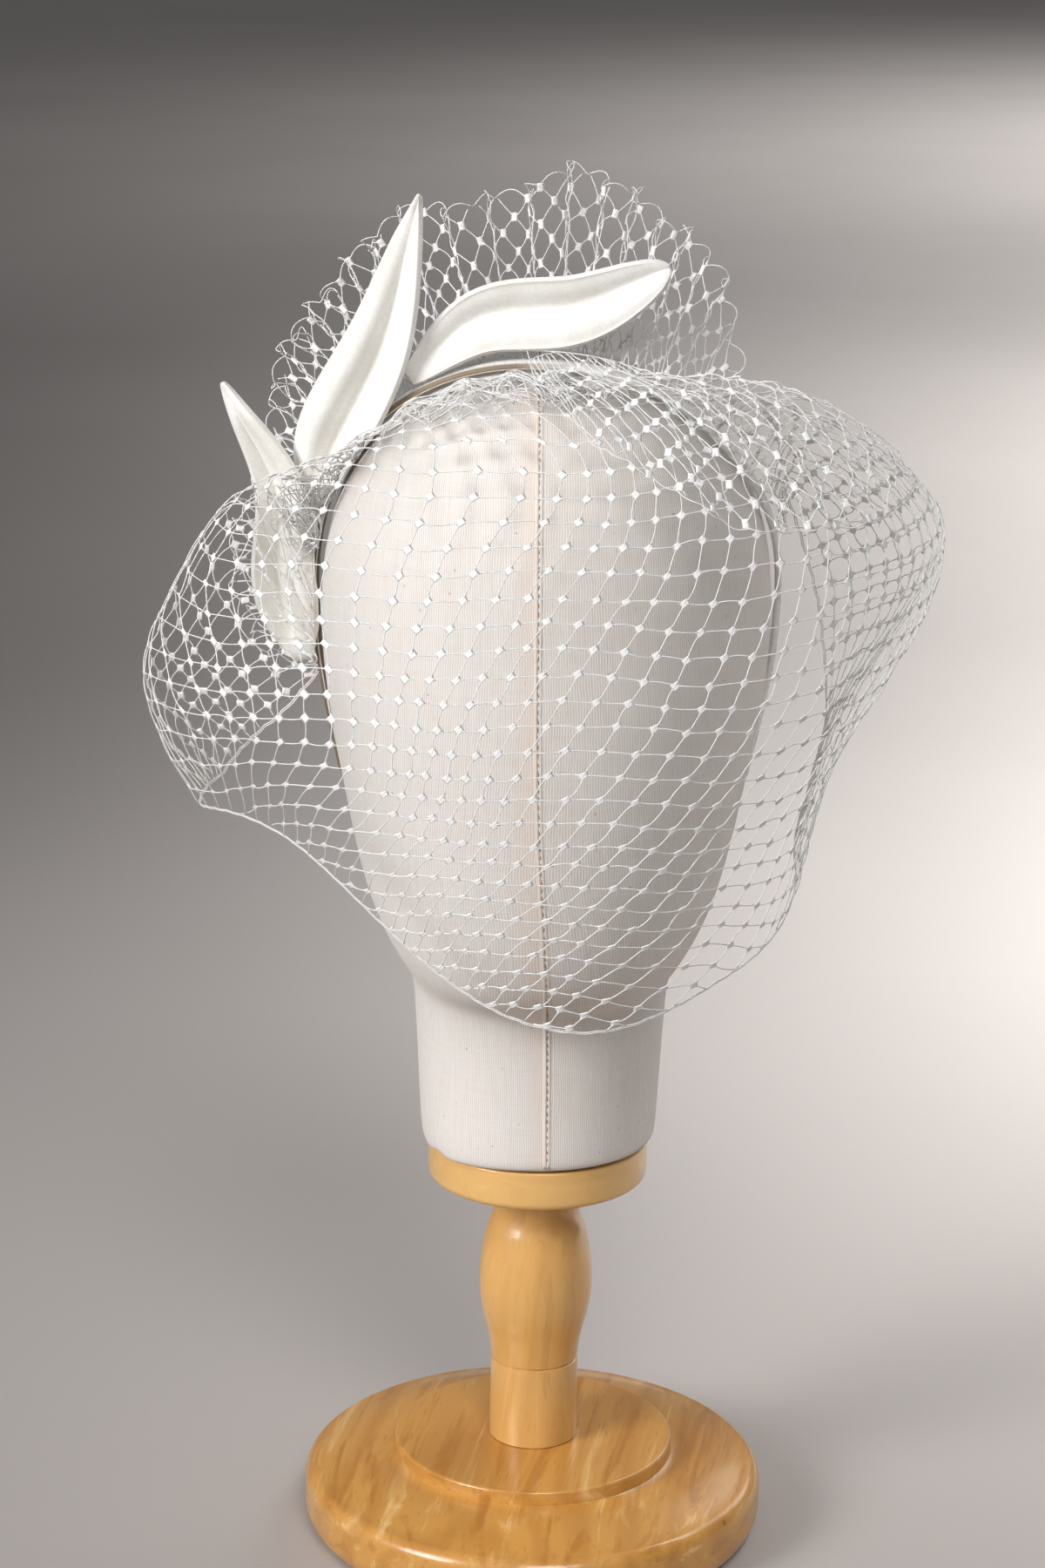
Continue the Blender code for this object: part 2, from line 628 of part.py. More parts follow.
def build_top_layer(look):
    grid = []
    for row in range(TOP_LAYER_DROP_STEPS + 1):
        share = row / TOP_LAYER_DROP_STEPS
        grid.append([top_layer_point(column / TOP_LAYER_COLUMN_STEPS, share)
                     for column in range(TOP_LAYER_COLUMN_STEPS + 1)])
    return cloth_wall("veil_top_layer", grid, NET_WALL, look)


# Felt leaves

def leaf_foot(leaf):
    # Where the leaf is sewn, on the outer side of the band, as (x, z)
    point, outward, forward = band_frame(leaf["foot"])
    width = leaf["half_width"] * leaf_swell(leaf, 0.0)
    seat = point + outward * (BAND_LIFT + BAND_HALF_THICKNESS + LEAF_FOOT_RAISE + width)
    return seat.x, seat.z


def leaf_rib(leaf, place):
    stations = (leaf_foot(leaf), leaf["belly"], leaf["shoulder"], leaf["tip"])
    return Vector([through([station[axis] for station in stations], place) for axis in range(2)])


def leaf_swell(leaf, along):
    # Share of the full half width, from the foot at 0 to the tip at 1
    fullest = leaf["fullest"]
    if along < fullest:
        start = LEAF_FOOT_SHARE + (1.0 - LEAF_FOOT_SHARE) * along / fullest
        return math.sin(math.pi / 2.0 * start)
    taper = math.pi / 2.0 * (along - fullest) / (1.0 - fullest)
    return max(max(math.cos(taper), 0.0) ** leaf["tip_fullness"], LEAF_TIP_SHARE)


def clear_of_head(point, gap):
    # The point, or the nearest one straight out from the head's middle that leaves the gap
    height = point.z - CROWN_BASE_Z
    if height > 0.0:
        half_width = HEAD_LEVELS[0]["half_width"]
        front = HEAD_LEVELS[0]["front"]
        middle = Vector((0.0, 0.0, CROWN_BASE_Z))
    else:
        half_width, front = head_level(point.z)
        height = 0.0
        middle = Vector((0.0, 0.0, point.z))
    reach = (abs(point.x / half_width) ** HEAD_POWER + abs(point.y / front) ** HEAD_POWER
             + (height / CROWN_RISE) ** HEAD_POWER) ** (1.0 / HEAD_POWER)
    arm = point - middle
    needed = arm.length / reach + gap
    return middle + arm.normalized() * max(arm.length, needed)


def leaf_point(leaf, along, across):
    place = along * 3.0
    rib = leaf_rib(leaf, place)
    ahead_rib = leaf_rib(leaf, min(place + LEAF_RIB_STEP, 3.0))
    behind_rib = leaf_rib(leaf, max(place - LEAF_RIB_STEP, 0.0))
    length_way = (ahead_rib - behind_rib).normalized()
    swell = leaf_swell(leaf, along)
    shift = leaf["half_width"] * swell * across
    x = rib.x + length_way.y * shift
    z = rib.y - length_way.x * shift
    angle = math.degrees(math.atan2(x, z - CROWN_BASE_Z))
    inner_share = 0.5 + 0.5 * across
    ahead = leaf["ahead_outer"] + (leaf["ahead_inner"] - leaf["ahead_outer"]) * inner_share
    y = table_value(BAND_SET, "y", place_of(BAND_SET, "angle", angle))
    y -= ahead * smooth_share(swell, *LEAF_AHEAD_FROM)
    y += leaf["cup"] * swell * (1.0 - abs(across))
    return clear_of_head(Vector((x, y, z)), FELT_WALL / 2.0 + LEAF_TO_HEAD)


def build_leaf(leaf, look):
    grid = []
    for row in range(LEAF_LENGTH_STEPS + 1):
        along = row / LEAF_LENGTH_STEPS
        grid.append([leaf_point(leaf, along, 2.0 * step / LEAF_ACROSS_STEPS - 1.0)
                     for step in range(LEAF_ACROSS_STEPS + 1)])
    return cloth_wall(leaf["name"], grid, FELT_WALL, look)


def main():
    for obj in list(bpy.data.objects):
        bpy.data.objects.remove(obj)
    wood = material("varnished_wood", (0.62, 0.35, 0.13), 0.32)
    build_base(wood)
    build_post(material("varnished_post", (0.66, 0.38, 0.14), 0.30))
    build_collar(material("varnished_collar", (0.64, 0.38, 0.16), 0.34))
    build_head(material("linen_cover", (0.74, 0.70, 0.65), 0.90))
    build_band(material("wrapped_band", (0.86, 0.85, 0.82), 0.55))
    build_face_veil(material("face_net", (0.88, 0.87, 0.85), 0.60))
    build_frill(material("frill_net", (0.87, 0.86, 0.84), 0.60))
    build_top_layer(material("top_layer_net", (0.88, 0.88, 0.86), 0.60))
    for leaf in LEAVES:
        build_leaf(leaf, material(leaf["name"] + "_felt", (0.88, 0.86, 0.82), 0.95))


main()
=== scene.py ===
import math

import bpy
import numpy as np
from mathutils import Matrix, Vector
from mathutils.bvhtree import BVHTree
from mathutils.kdtree import KDTree


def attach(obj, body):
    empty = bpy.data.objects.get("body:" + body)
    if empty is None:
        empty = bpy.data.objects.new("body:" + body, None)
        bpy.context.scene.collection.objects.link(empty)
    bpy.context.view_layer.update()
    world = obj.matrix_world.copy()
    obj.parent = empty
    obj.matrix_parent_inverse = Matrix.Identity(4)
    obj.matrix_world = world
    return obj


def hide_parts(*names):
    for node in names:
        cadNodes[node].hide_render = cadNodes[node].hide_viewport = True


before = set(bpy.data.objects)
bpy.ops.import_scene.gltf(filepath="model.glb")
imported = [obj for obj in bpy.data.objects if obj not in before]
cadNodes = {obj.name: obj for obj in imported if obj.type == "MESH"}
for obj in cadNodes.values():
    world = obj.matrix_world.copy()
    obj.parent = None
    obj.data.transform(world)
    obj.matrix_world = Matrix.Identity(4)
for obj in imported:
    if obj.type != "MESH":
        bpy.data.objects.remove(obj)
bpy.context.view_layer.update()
print("frame loaded:", len(cadNodes), "nodes")


# Small helpers

def deselectAll():
    if bpy.context.object is not None and bpy.context.object.mode != "OBJECT":
        bpy.ops.object.mode_set(mode="OBJECT")
    bpy.ops.object.select_all(action="DESELECT")


def makeActive(piece):
    deselectAll()
    piece.select_set(True)
    bpy.context.view_layer.objects.active = piece


def turnFacesOut(piece):
    makeActive(piece)
    bpy.ops.object.mode_set(mode="EDIT")
    bpy.ops.mesh.select_all(action="SELECT")
    bpy.ops.mesh.normals_make_consistent(inside=False)
    bpy.ops.object.mode_set(mode="OBJECT")


def roundOff(piece, levels):
    rounded = piece.modifiers.new("rounded", "SUBSURF")
    rounded.levels = levels
    rounded.render_levels = levels


def applyAll(piece):
    makeActive(piece)
    for modifier in list(piece.modifiers):
        bpy.ops.object.modifier_apply(modifier=modifier.name)


def settle(piece, name, material):
    # the place goes into the mesh, and the piece rides on the only body
    makeActive(piece)
    bpy.ops.object.transform_apply(location=True, rotation=True, scale=True)
    piece.name = name
    piece.data.name = name
    piece.data.materials.clear()
    piece.data.materials.append(material)
    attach(piece, "root")
    return piece


def arrayMesh(name, points, faces, uvName=None, uvs=None):
    # faces is a list of index arrays, one per polygon size; uvs has one pair per corner
    mesh = bpy.data.meshes.new(name)
    mesh.vertices.add(len(points))
    mesh.vertices.foreach_set("co", np.ascontiguousarray(points, dtype=np.float32).ravel())
    corners = np.concatenate([block.ravel() for block in faces])
    sizes = np.concatenate([np.full(len(block), block.shape[1]) for block in faces])
    starts = np.concatenate([[0], np.cumsum(sizes)[:-1]])
    mesh.loops.add(len(corners))
    mesh.loops.foreach_set("vertex_index", corners.astype(np.int32))
    mesh.polygons.add(len(sizes))
    mesh.polygons.foreach_set("loop_start", starts.astype(np.int32))
    mesh.polygons.foreach_set("use_smooth", np.ones(len(sizes), dtype=bool))
    mesh.update(calc_edges=True)
    if uvs is not None:
        layer = mesh.uv_layers.new(name=uvName)
        layer.data.foreach_set("uv", np.ascontiguousarray(uvs[corners], dtype=np.float32).ravel())
    mesh.validate()
    return addObject(name, mesh)


def tubeFaces(tubes, rings, sides):
    # quads and end caps of closed tubes, whose points run ring by ring
    grid = np.arange(tubes * rings * sides).reshape(tubes, rings, sides)
    beside = np.roll(grid, -1, axis=2)
    quads = np.stack([grid[:, :-1], grid[:, 1:], beside[:, 1:], beside[:, :-1]], axis=-1).reshape(-1, 4)
    caps = np.concatenate([grid[:, 0], grid[:, -1, ::-1]])
    return [quads, caps]


def addObject(name, data):
    piece = bpy.data.objects.new(name, data)
    bpy.context.scene.collection.objects.link(piece)
    return piece


def normalised(vectors):
    return vectors / np.maximum(np.linalg.norm(vectors, axis=-1, keepdims=True), 1e-12)


def lengthAlong(points):
    return np.concatenate([[0], np.cumsum(np.linalg.norm(np.diff(points, axis=0), axis=1))])


def smoothBetween(before, start, end, after, share):
    # runs from start to end, and leans on the values before and after them
    return 0.5 * (2 * start + (end - before) * share
                  + (2 * before - 5 * start + 4 * end - after) * share ** 2
                  + (3 * start - before - 3 * end + after) * share ** 3)


def through(values, place):
    # smooth value through a table's rows; values may be numbers or rows of numbers
    values = np.asarray(values, dtype=float)
    place = np.asarray(place, dtype=float)
    last = len(values) - 1
    index = np.clip(place.astype(int), 0, last - 1)
    share = place - index
    if values.ndim > 1:
        share = share[..., None]
    padded = np.concatenate([[2 * values[0] - values[1]], values, [2 * values[-1] - values[-2]]])
    return smoothBetween(*[padded[index + shift] for shift in range(4)], share)


def tableAt(rows, key, keyValue, wanted):
    keys = [row[key] for row in rows]
    place = np.interp(keyValue, keys, np.arange(len(keys)))
    return through([row[wanted] for row in rows], place)


def smoothShare(value, low, high):
    share = np.clip((value - low) / (high - low), 0, 1)
    return share * share * (3 - 2 * share)


# Camera, at the photograph's place

photoCamera = {
    "place": (-0.0076, -1.293, 0.6529),
    "pitchDown": 15.66,
    "lean": 0.84,
    "lens": 85.0,
    "sensor": 36.0,
}


def setCamera():
    lensData = bpy.data.cameras.new("photoCamera")
    lensData.lens = photoCamera["lens"]
    lensData.sensor_width = photoCamera["sensor"]
    lensData.clip_start = 0.05
    lensData.clip_end = 30
    viewer = addObject("photoCamera", lensData)
    tilt = Matrix.Rotation(math.radians(90 - photoCamera["pitchDown"]), 4, "X")
    lean = Matrix.Rotation(math.radians(photoCamera["lean"]), 4, "Z")
    viewer.matrix_world = Matrix.Translation(photoCamera["place"]) @ tilt @ lean
    bpy.context.scene.camera = viewer


setCamera()
print("camera set")


# Shader helpers

def newMaterial(name, roughness):
    material = bpy.data.materials.new(name)
    material.use_nodes = True
    tree = material.node_tree
    tree.nodes["Principled BSDF"].inputs["Roughness"].default_value = roughness
    return material, tree


def addNode(tree, kind, **settings):
    node = tree.nodes.new(kind)
    for key, value in settings.items():
        setattr(node, key, value)
    return node


def mathNode(tree, operation, first, second=None, third=None):
    node = addNode(tree, "ShaderNodeMath", operation=operation)
    for socket, value in zip(node.inputs, (first, second, third)):
        if value is None:
            continue
        if isinstance(value, (int, float)):
            socket.default_value = value
        else:
            tree.links.new(value, socket)
    return node.outputs[0]


def noiseNode(tree, vector, scale, detail=3, roughness=0.55):
    node = addNode(tree, "ShaderNodeTexNoise")
    node.inputs["Scale"].default_value = scale
    node.inputs["Detail"].default_value = detail
    node.inputs["Roughness"].default_value = roughness
    tree.links.new(vector, node.inputs["Vector"])
    return node.outputs["Fac"]


def spread(tree, value, low, high, toLow=0.0, toHigh=1.0):
    node = addNode(tree, "ShaderNodeMapRange")
    node.inputs["From Min"].default_value = low
    node.inputs["From Max"].default_value = high
    node.inputs["To Min"].default_value = toLow
    node.inputs["To Max"].default_value = toHigh
    tree.links.new(value, node.inputs["Value"])
    return node.outputs["Result"]


def mixColours(tree, factor, first, second):
    node = addNode(tree, "ShaderNodeMix", data_type="RGBA")
    for socketName, value in (("Factor", factor), ("A", first), ("B", second)):
        socket = node.inputs[socketName]
        if isinstance(value, (int, float)):
            socket.default_value = value
        elif isinstance(value, tuple):
            socket.default_value = (*value, 1.0)
        else:
            tree.links.new(value, socket)
    return node.outputs["Result"]


def colourSteps(tree, factor, stops):
    node = addNode(tree, "ShaderNodeValToRGB")
    ramp = node.color_ramp
    while len(ramp.elements) < len(stops):
        ramp.elements.new(0.5)
    for element, (place, colour) in zip(ramp.elements, stops):
        element.position = place
        element.color = (*colour, 1.0)
    tree.links.new(factor, node.inputs["Fac"])
    return node.outputs["Color"]


def laidOver(tree, colour, other, value, ends, amount):
    # another colour comes in, up to an amount, as the value goes from one end to the other
    return mixColours(tree, spread(tree, value, *ends, 0.0, amount), colour, other)


def mapParts(tree, mapName):
    flat = addNode(tree, "ShaderNodeUVMap", uv_map=mapName).outputs["UV"]
    parts = addNode(tree, "ShaderNodeSeparateXYZ")
    tree.links.new(flat, parts.inputs["Vector"])
    return flat, parts.outputs["X"], parts.outputs["Y"]


def finishLook(material, look, colour, tone=None, relief=None):
    # a look's roughness may follow a tone, and its surface may have a relief
    tree = material.node_tree
    shader = tree.nodes["Principled BSDF"]
    setSockets(shader, look["sockets"])
    tree.links.new(colour, shader.inputs["Base Color"])
    if tone is not None:
        tree.links.new(spread(tree, tone, *look["toneRoughness"]), shader.inputs["Roughness"])
    if relief is not None:
        bump = addNode(tree, "ShaderNodeBump")
        setSockets(bump, {"Strength": look["bumpStrength"], "Distance": look["bump"]})
        tree.links.new(relief, bump.inputs["Height"])
        tree.links.new(bump.outputs["Normal"], shader.inputs["Normal"])
    return material


def newGroup(name, inputs, outputs):
    group = bpy.data.node_groups.new(name, "ShaderNodeTree")
    kinds = {"number": "NodeSocketFloat", "vector": "NodeSocketVector", "colour": "NodeSocketColor"}
    for socketName, kind, value in inputs:
        socket = group.interface.new_socket(name=socketName, in_out="INPUT", socket_type=kinds[kind])
        if value is not None:
            socket.default_value = value
    for socketName, kind in outputs:
        group.interface.new_socket(name=socketName, in_out="OUTPUT", socket_type=kinds[kind])
    return group, group.nodes.new("NodeGroupInput"), group.nodes.new("NodeGroupOutput")


def useGroup(tree, group, vector, values):
    node = addNode(tree, "ShaderNodeGroup", node_tree=group)
    tree.links.new(vector, node.inputs["Vector"])
    setSockets(node, values)
    return node


def setSockets(node, values):
    for socketName, value in values.items():
        node.inputs[socketName].default_value = value


def stretchedMap(tree, vector, scale):
    node = addNode(tree, "ShaderNodeMapping")
    node.inputs["Scale"].default_value = scale
    tree.links.new(vector, node.inputs["Vector"])
    return node.outputs["Vector"]


# Effects that more than one material uses

def buildFibreFuzz():
    # fine matted fibres over broad soft mottling
    group, start, end = newGroup(
        "fibreFuzz",
        [("Vector", "vector", None), ("Fibre Scale", "number", 900.0), ("Mottle Scale", "number", 60.0)],
        [("Fibre", "number"), ("Mottle", "number")])
    fine = addNode(group, "ShaderNodeTexNoise")
    setSockets(fine, {"Detail": 4, "Distortion": 1.4})
    broad = addNode(group, "ShaderNodeTexNoise")
    setSockets(broad, {"Detail": 3})
    group.links.new(start.outputs["Vector"], fine.inputs["Vector"])
    group.links.new(start.outputs["Vector"], broad.inputs["Vector"])
    group.links.new(start.outputs["Fibre Scale"], fine.inputs["Scale"])
    group.links.new(start.outputs["Mottle Scale"], broad.inputs["Scale"])
    group.links.new(fine.outputs["Fac"], end.inputs["Fibre"])
    group.links.new(broad.outputs["Fac"], end.inputs["Mottle"])
    return group


def buildPlainWeave():
    # warp and weft threads from a flat cloth map in metres, each thread a little uneven
    group, start, end = newGroup(
        "plainWeave",
        [("Vector", "vector", None), ("Warp Step", "number", 0.00075), ("Weft Step", "number", 0.0006)],
        [("Warp", "number"), ("Weft", "number"), ("Slub", "number"), ("Height", "number")])
    parts = addNode(group, "ShaderNodeSeparateXYZ")
    group.links.new(start.outputs["Vector"], parts.inputs["Vector"])
    waver = noiseNode(group, start.outputs["Vector"], 70, 3)
    ribs = []
    for axis, step in (("X", "Warp Step"), ("Y", "Weft Step")):
        count = mathNode(group, "DIVIDE", parts.outputs[axis], start.outputs[step])
        shifted = mathNode(group, "MULTIPLY_ADD", waver, 2.2, count)
        turned = mathNode(group, "MULTIPLY", shifted, math.tau)
        wave = mathNode(group, "SINE", turned)
        ribs.append(mathNode(group, "MULTIPLY_ADD", wave, 0.5, 0.5))
    # thick and thin places run along the threads both ways
    slubs = []
    for stretch, share in (((900, 45, 1), 0.6), ((60, 1100, 1), 0.4)):
        uneven = noiseNode(group, stretchedMap(group, start.outputs["Vector"], stretch), 1, 2)
        slubs.append(mathNode(group, "MULTIPLY", uneven, share))
    slub = mathNode(group, "ADD", *slubs)
    height = mathNode(group, "MAXIMUM", ribs[0], mathNode(group, "MULTIPLY", ribs[1], 0.75))
    group.links.new(ribs[0], end.inputs["Warp"])
    group.links.new(ribs[1], end.inputs["Weft"])
    group.links.new(slub, end.inputs["Slub"])
    group.links.new(height, end.inputs["Height"])
    return group


def buildWoodGrain():
    # long streaks, broad growth bands and small pores, all running along the mapped X axis
    group, start, end = newGroup(
        "woodGrain",
        [("Vector", "vector", None), ("Streak Scale", "number", 1.0)],
        [("Streak", "number"), ("Bands", "number"), ("Pores", "number")])
    place = start.outputs["Vector"]
    warped = addNode(group, "ShaderNodeTexNoise")
    setSockets(warped, {"Detail": 5, "Roughness": 0.62, "Distortion": 0.6})
    group.links.new(stretchedMap(group, place, (6, 115, 115)), warped.inputs["Vector"])
    group.links.new(start.outputs["Streak Scale"], warped.inputs["Scale"])
    bands = addNode(group, "ShaderNodeTexWave", wave_type="RINGS", rings_direction="X")
    setSockets(bands, {"Scale": 2.6, "Distortion": 5.5, "Detail": 3, "Detail Scale": 1.2})
    group.links.new(stretchedMap(group, place, (0.9, 9, 9)), bands.inputs["Vector"])
    pores = noiseNode(group, stretchedMap(group, place, (60, 900, 900)), 1, 2)
    group.links.new(warped.outputs["Fac"], end.inputs["Streak"])
    group.links.new(bands.outputs["Fac"], end.inputs["Bands"])
    group.links.new(spread(group, pores, 0.62, 0.72), end.inputs["Pores"])
    return group


fibreFuzz = buildFibreFuzz()
plainWeave = buildPlainWeave()
woodGrain = buildWoodGrain()


def fuzzOver(tree, fibreScale, mottleScale):
    place = addNode(tree, "ShaderNodeTexCoord")
    return useGroup(tree, fibreFuzz, place.outputs["Object"],
                    {"Fibre Scale": fibreScale, "Mottle Scale": mottleScale})


# Materials

linenLook = {
    "pale": (0.855, 0.83, 0.80),
    "shade": (0.60, 0.52, 0.455),
    "blush": (0.84, 0.68, 0.58),
    "fleck": (0.34, 0.24, 0.18),
    "warpStep": 0.00078,
    "weftStep": 0.00062,
    "ribShare": 0.62,
    "slubShare": 0.55,
    "tones": (0.22, 0.80),
    "mottleScale": 26,
    "mottle": 0.08,
    "panelFrom": (-0.0003, 0.0006),
    "panelShade": 0.14,
    "stripLeft": (-0.0085, -0.0030),
    "stripRight": (-0.0006, 0.0003),
    "strip": 0.42,
    "fleckScale": 420,
    "flecks": 0.55,
    "roughness": 0.88,
    "bump": 0.00022,
    "mottleFrom": (0.35, 0.75),
    "fleckFrom": (0.74, 0.80),
    "toneRoughness": (0.2, 0.9, 0.95, 0.80),
    "sockets": {"Sheen Weight": 0.12, "Sheen Roughness": 0.5},
    "bumpStrength": 0.55,
}


def linenMaterial():
    look = linenLook
    material, tree = newMaterial("ribbedLinen", look["roughness"])
    flat, sideways, _ = mapParts(tree, "cloth")
    weave = useGroup(tree, plainWeave, flat, {"Warp Step": look["warpStep"], "Weft Step": look["weftStep"]})
    ribs = mathNode(tree, "MULTIPLY", weave.outputs["Height"], look["ribShare"])
    toned = mathNode(tree, "MULTIPLY_ADD", weave.outputs["Slub"], look["slubShare"], ribs)
    cloth = mixColours(tree, spread(tree, toned, *look["tones"]), look["shade"], look["pale"])
    broad = noiseNode(tree, flat, look["mottleScale"], 3)
    cloth = laidOver(tree, cloth, look["blush"], broad, look["mottleFrom"], look["mottle"])
    # the panel on the right of the seam is cut the other way of the cloth, and is darkened toward the shade
    # colour: partly the panels' own difference, partly painted shade of the side turned from the light
    cloth = laidOver(tree, cloth, look["shade"], sideways, look["panelFrom"], look["panelShade"])
    # a warm strip lies along the other side of the seam
    left = spread(tree, sideways, *look["stripLeft"], 0.0, 1.0)
    right = spread(tree, sideways, *look["stripRight"], 1.0, 0.0)
    strip = mathNode(tree, "MULTIPLY", mathNode(tree, "MULTIPLY", left, right), look["strip"])
    cloth = mixColours(tree, strip, cloth, look["blush"])
    # small dark flecks in the yarn
    fleck = noiseNode(tree, flat, look["fleckScale"], 1)
    cloth = laidOver(tree, cloth, look["fleck"], fleck, look["fleckFrom"], look["flecks"])
    return finishLook(material, look, cloth, toned, weave.outputs["Height"])


threadLook = {
    "bright": (0.90, 0.893, 0.88),
    "soft": (0.85, 0.84, 0.825),
    "aged": (0.78, 0.72, 0.64),
    "agedShare": 0.10,
    "twistStep": 1.15,
    "fibreScale": 2200,
    "mottleScale": 38,
    "roughness": 0.55,
    "bump": 0.00012,
    "fibreShare": 0.4,
    "plyShare": 0.6,
    "tones": (0.1, 0.62),
    "agedFrom": (0.4, 0.7),
    "toneRoughness": (0.0, 1.0, 0.66, 0.44),
    "sockets": {"Sheen Weight": 0.25, "Specular IOR Level": 0.40},
    "bumpStrength": 0.5,
}


def threadMaterial():
    # two-ply thread: the map's X runs along it in millimetres, and Y once round it
    look = threadLook
    material, tree = newMaterial("whiteThread", look["roughness"])
    _, along, around = mapParts(tree, "ply")
    wound = mathNode(tree, "SUBTRACT", mathNode(tree, "DIVIDE", along, look["twistStep"]), around)
    wave = mathNode(tree, "SINE", mathNode(tree, "MULTIPLY", wound, math.tau))
    ply = mathNode(tree, "MULTIPLY_ADD", wave, 0.5, 0.5)
    fuzz = fuzzOver(tree, look["fibreScale"], look["mottleScale"])
    plied = mathNode(tree, "MULTIPLY", ply, look["plyShare"])
    tone = mathNode(tree, "MULTIPLY_ADD", fuzz.outputs["Fibre"], look["fibreShare"], plied)
    colour = mixColours(tree, spread(tree, tone, *look["tones"]), look["soft"], look["bright"])
    colour = laidOver(tree, colour, look["aged"], fuzz.outputs["Mottle"], look["agedFrom"], look["agedShare"])
    return finishLook(material, look, colour, tone, ply)


feltLook = {
    "light": (0.93, 0.915, 0.875),
    "dull": (0.80, 0.765, 0.70),
    "fibreScale": 850,
    "mottleScale": 75,
    "roughness": 0.93,
    "bump": 0.0004,
    "fibreShare": 0.55,
    "mottleShare": 0.45,
    "tones": (0.30, 0.62),
    "toneRoughness": (0.3, 0.7, 0.98, 0.86),
    "sockets": {"Sheen Weight": 0.35, "Sheen Roughness": 0.6, "Specular IOR Level": 0.25},
    "bumpStrength": 0.5,
}


def feltMaterial():
    look = feltLook
    material, tree = newMaterial("ivoryFelt", look["roughness"])
    fuzz = fuzzOver(tree, look["fibreScale"], look["mottleScale"])
    mottle = mathNode(tree, "MULTIPLY", fuzz.outputs["Mottle"], look["mottleShare"])
    tone = mathNode(tree, "MULTIPLY_ADD", fuzz.outputs["Fibre"], look["fibreShare"], mottle)
    colour = mixColours(tree, spread(tree, tone, *look["tones"]), look["dull"], look["light"])
    return finishLook(material, look, colour, tone, tone)


wrapLook = {
    "bright": (0.92, 0.91, 0.89),
    "crease": (0.66, 0.62, 0.57),
    # dark brown for the band's front edge on the left: painted shade of the gap, partly the band's own brown
    "under": (0.23, 0.17, 0.105),
    "underTurns": (56.0, 62.0),
    "underRound": (0.13, 0.20),
    "foldWidth": 0.07,
    "foldShade": 0.6,
    "mottle": 0.25,
    "fibreScale": 1500,
    "mottleScale": 120,
    "roughness": 0.45,
    "bump": 0.00025,
    "mottleFrom": (0.42, 0.7),
    "toneRoughness": (0.3, 0.7, 0.38, 0.56),
    "sockets": {"Sheen Weight": 0.15},
    "bumpStrength": 0.35,
}


def wrapMaterial():
    # satin tape wound round the wire: the map's X counts the turns, and Y goes once round the wire
    look = wrapLook
    material, tree = newMaterial("whiteTape", look["roughness"])
    _, turns, around = mapParts(tree, "wrap")
    edge = mathNode(tree, "PINGPONG", turns, 0.5)
    fuzz = fuzzOver(tree, look["fibreScale"], look["mottleScale"])
    # along each lap's edge the tape is darkened toward the crease colour: painted shade in the crease
    fold = spread(tree, edge, 0.0, look["foldWidth"], 1.0, 0.0)
    creased = mathNode(tree, "MULTIPLY", fold, look["foldShade"])
    colour = mixColours(tree, creased, look["bright"], look["crease"])
    colour = laidOver(tree, colour, look["crease"], fuzz.outputs["Mottle"], look["mottleFrom"],
                      look["mottle"])
    # the band's front edge on the left and over the crown is painted dark brown: painted shade of the gap
    # between band and head, partly the band's own brown
    fromFront = mathNode(tree, "PINGPONG", around, 0.5)
    frontward = spread(tree, fromFront, *look["underRound"], 1.0, 0.0)
    onLeft = spread(tree, turns, *look["underTurns"], 1.0, 0.0)
    colour = mixColours(tree, mathNode(tree, "MULTIPLY", frontward, onLeft), colour, look["under"])
    relief = mathNode(tree, "SUBTRACT", fuzz.outputs["Fibre"], fold)
    return finishLook(material, look, colour, fuzz.outputs["Fibre"], relief)


woodLook = {
    "honey": (0.64, 0.315, 0.068),
    "amber": (0.48, 0.200, 0.030),
    "dark": (0.29, 0.098, 0.017),
    "cream": (0.82, 0.52, 0.20),
    "streaks": ((0.34, "amber"), (0.47, "honey"), (0.58, "honey"), (0.70, "cream")),
    "bands": 0.46,
    "pores": 0.30,
    "roughness": 0.36,
    "bump": 0.00025,
    "bandsFrom": (0.40, 1.0),
    "toneRoughness": (0.3, 0.7, 0.42, 0.30),
    "sockets": {"Coat Weight": 0.60, "Coat Roughness": 0.12},
    "bumpStrength": 0.22,
}
woodKnot = {
    "place": (0.0715, -0.0480, 0.0215),
    "radius": 0.0016,
    "colour": (0.05, 0.022, 0.012),
    "halo": 3.2,
    "core": 0.35,
    "darkness": 0.95,
    "haloShade": 0.45,
}


def knotOver(tree, place, colour):
    away = addNode(tree, "ShaderNodeVectorMath", operation="DISTANCE")
    away.inputs[1].default_value = woodKnot["place"]
    tree.links.new(place.outputs["Object"], away.inputs[0])
    radius = woodKnot["radius"]
    spot = spread(tree, away.outputs["Value"], radius * woodKnot["core"], radius, 1.0, 0.0)
    darkened = mathNode(tree, "MULTIPLY", spot, woodKnot["darkness"])
    colour = mixColours(tree, darkened, colour, woodKnot["colour"])
    halo = spread(tree, away.outputs["Value"], radius, radius * woodKnot["halo"], woodKnot["haloShade"], 0.0)
    return mixColours(tree, halo, colour, woodLook["amber"])


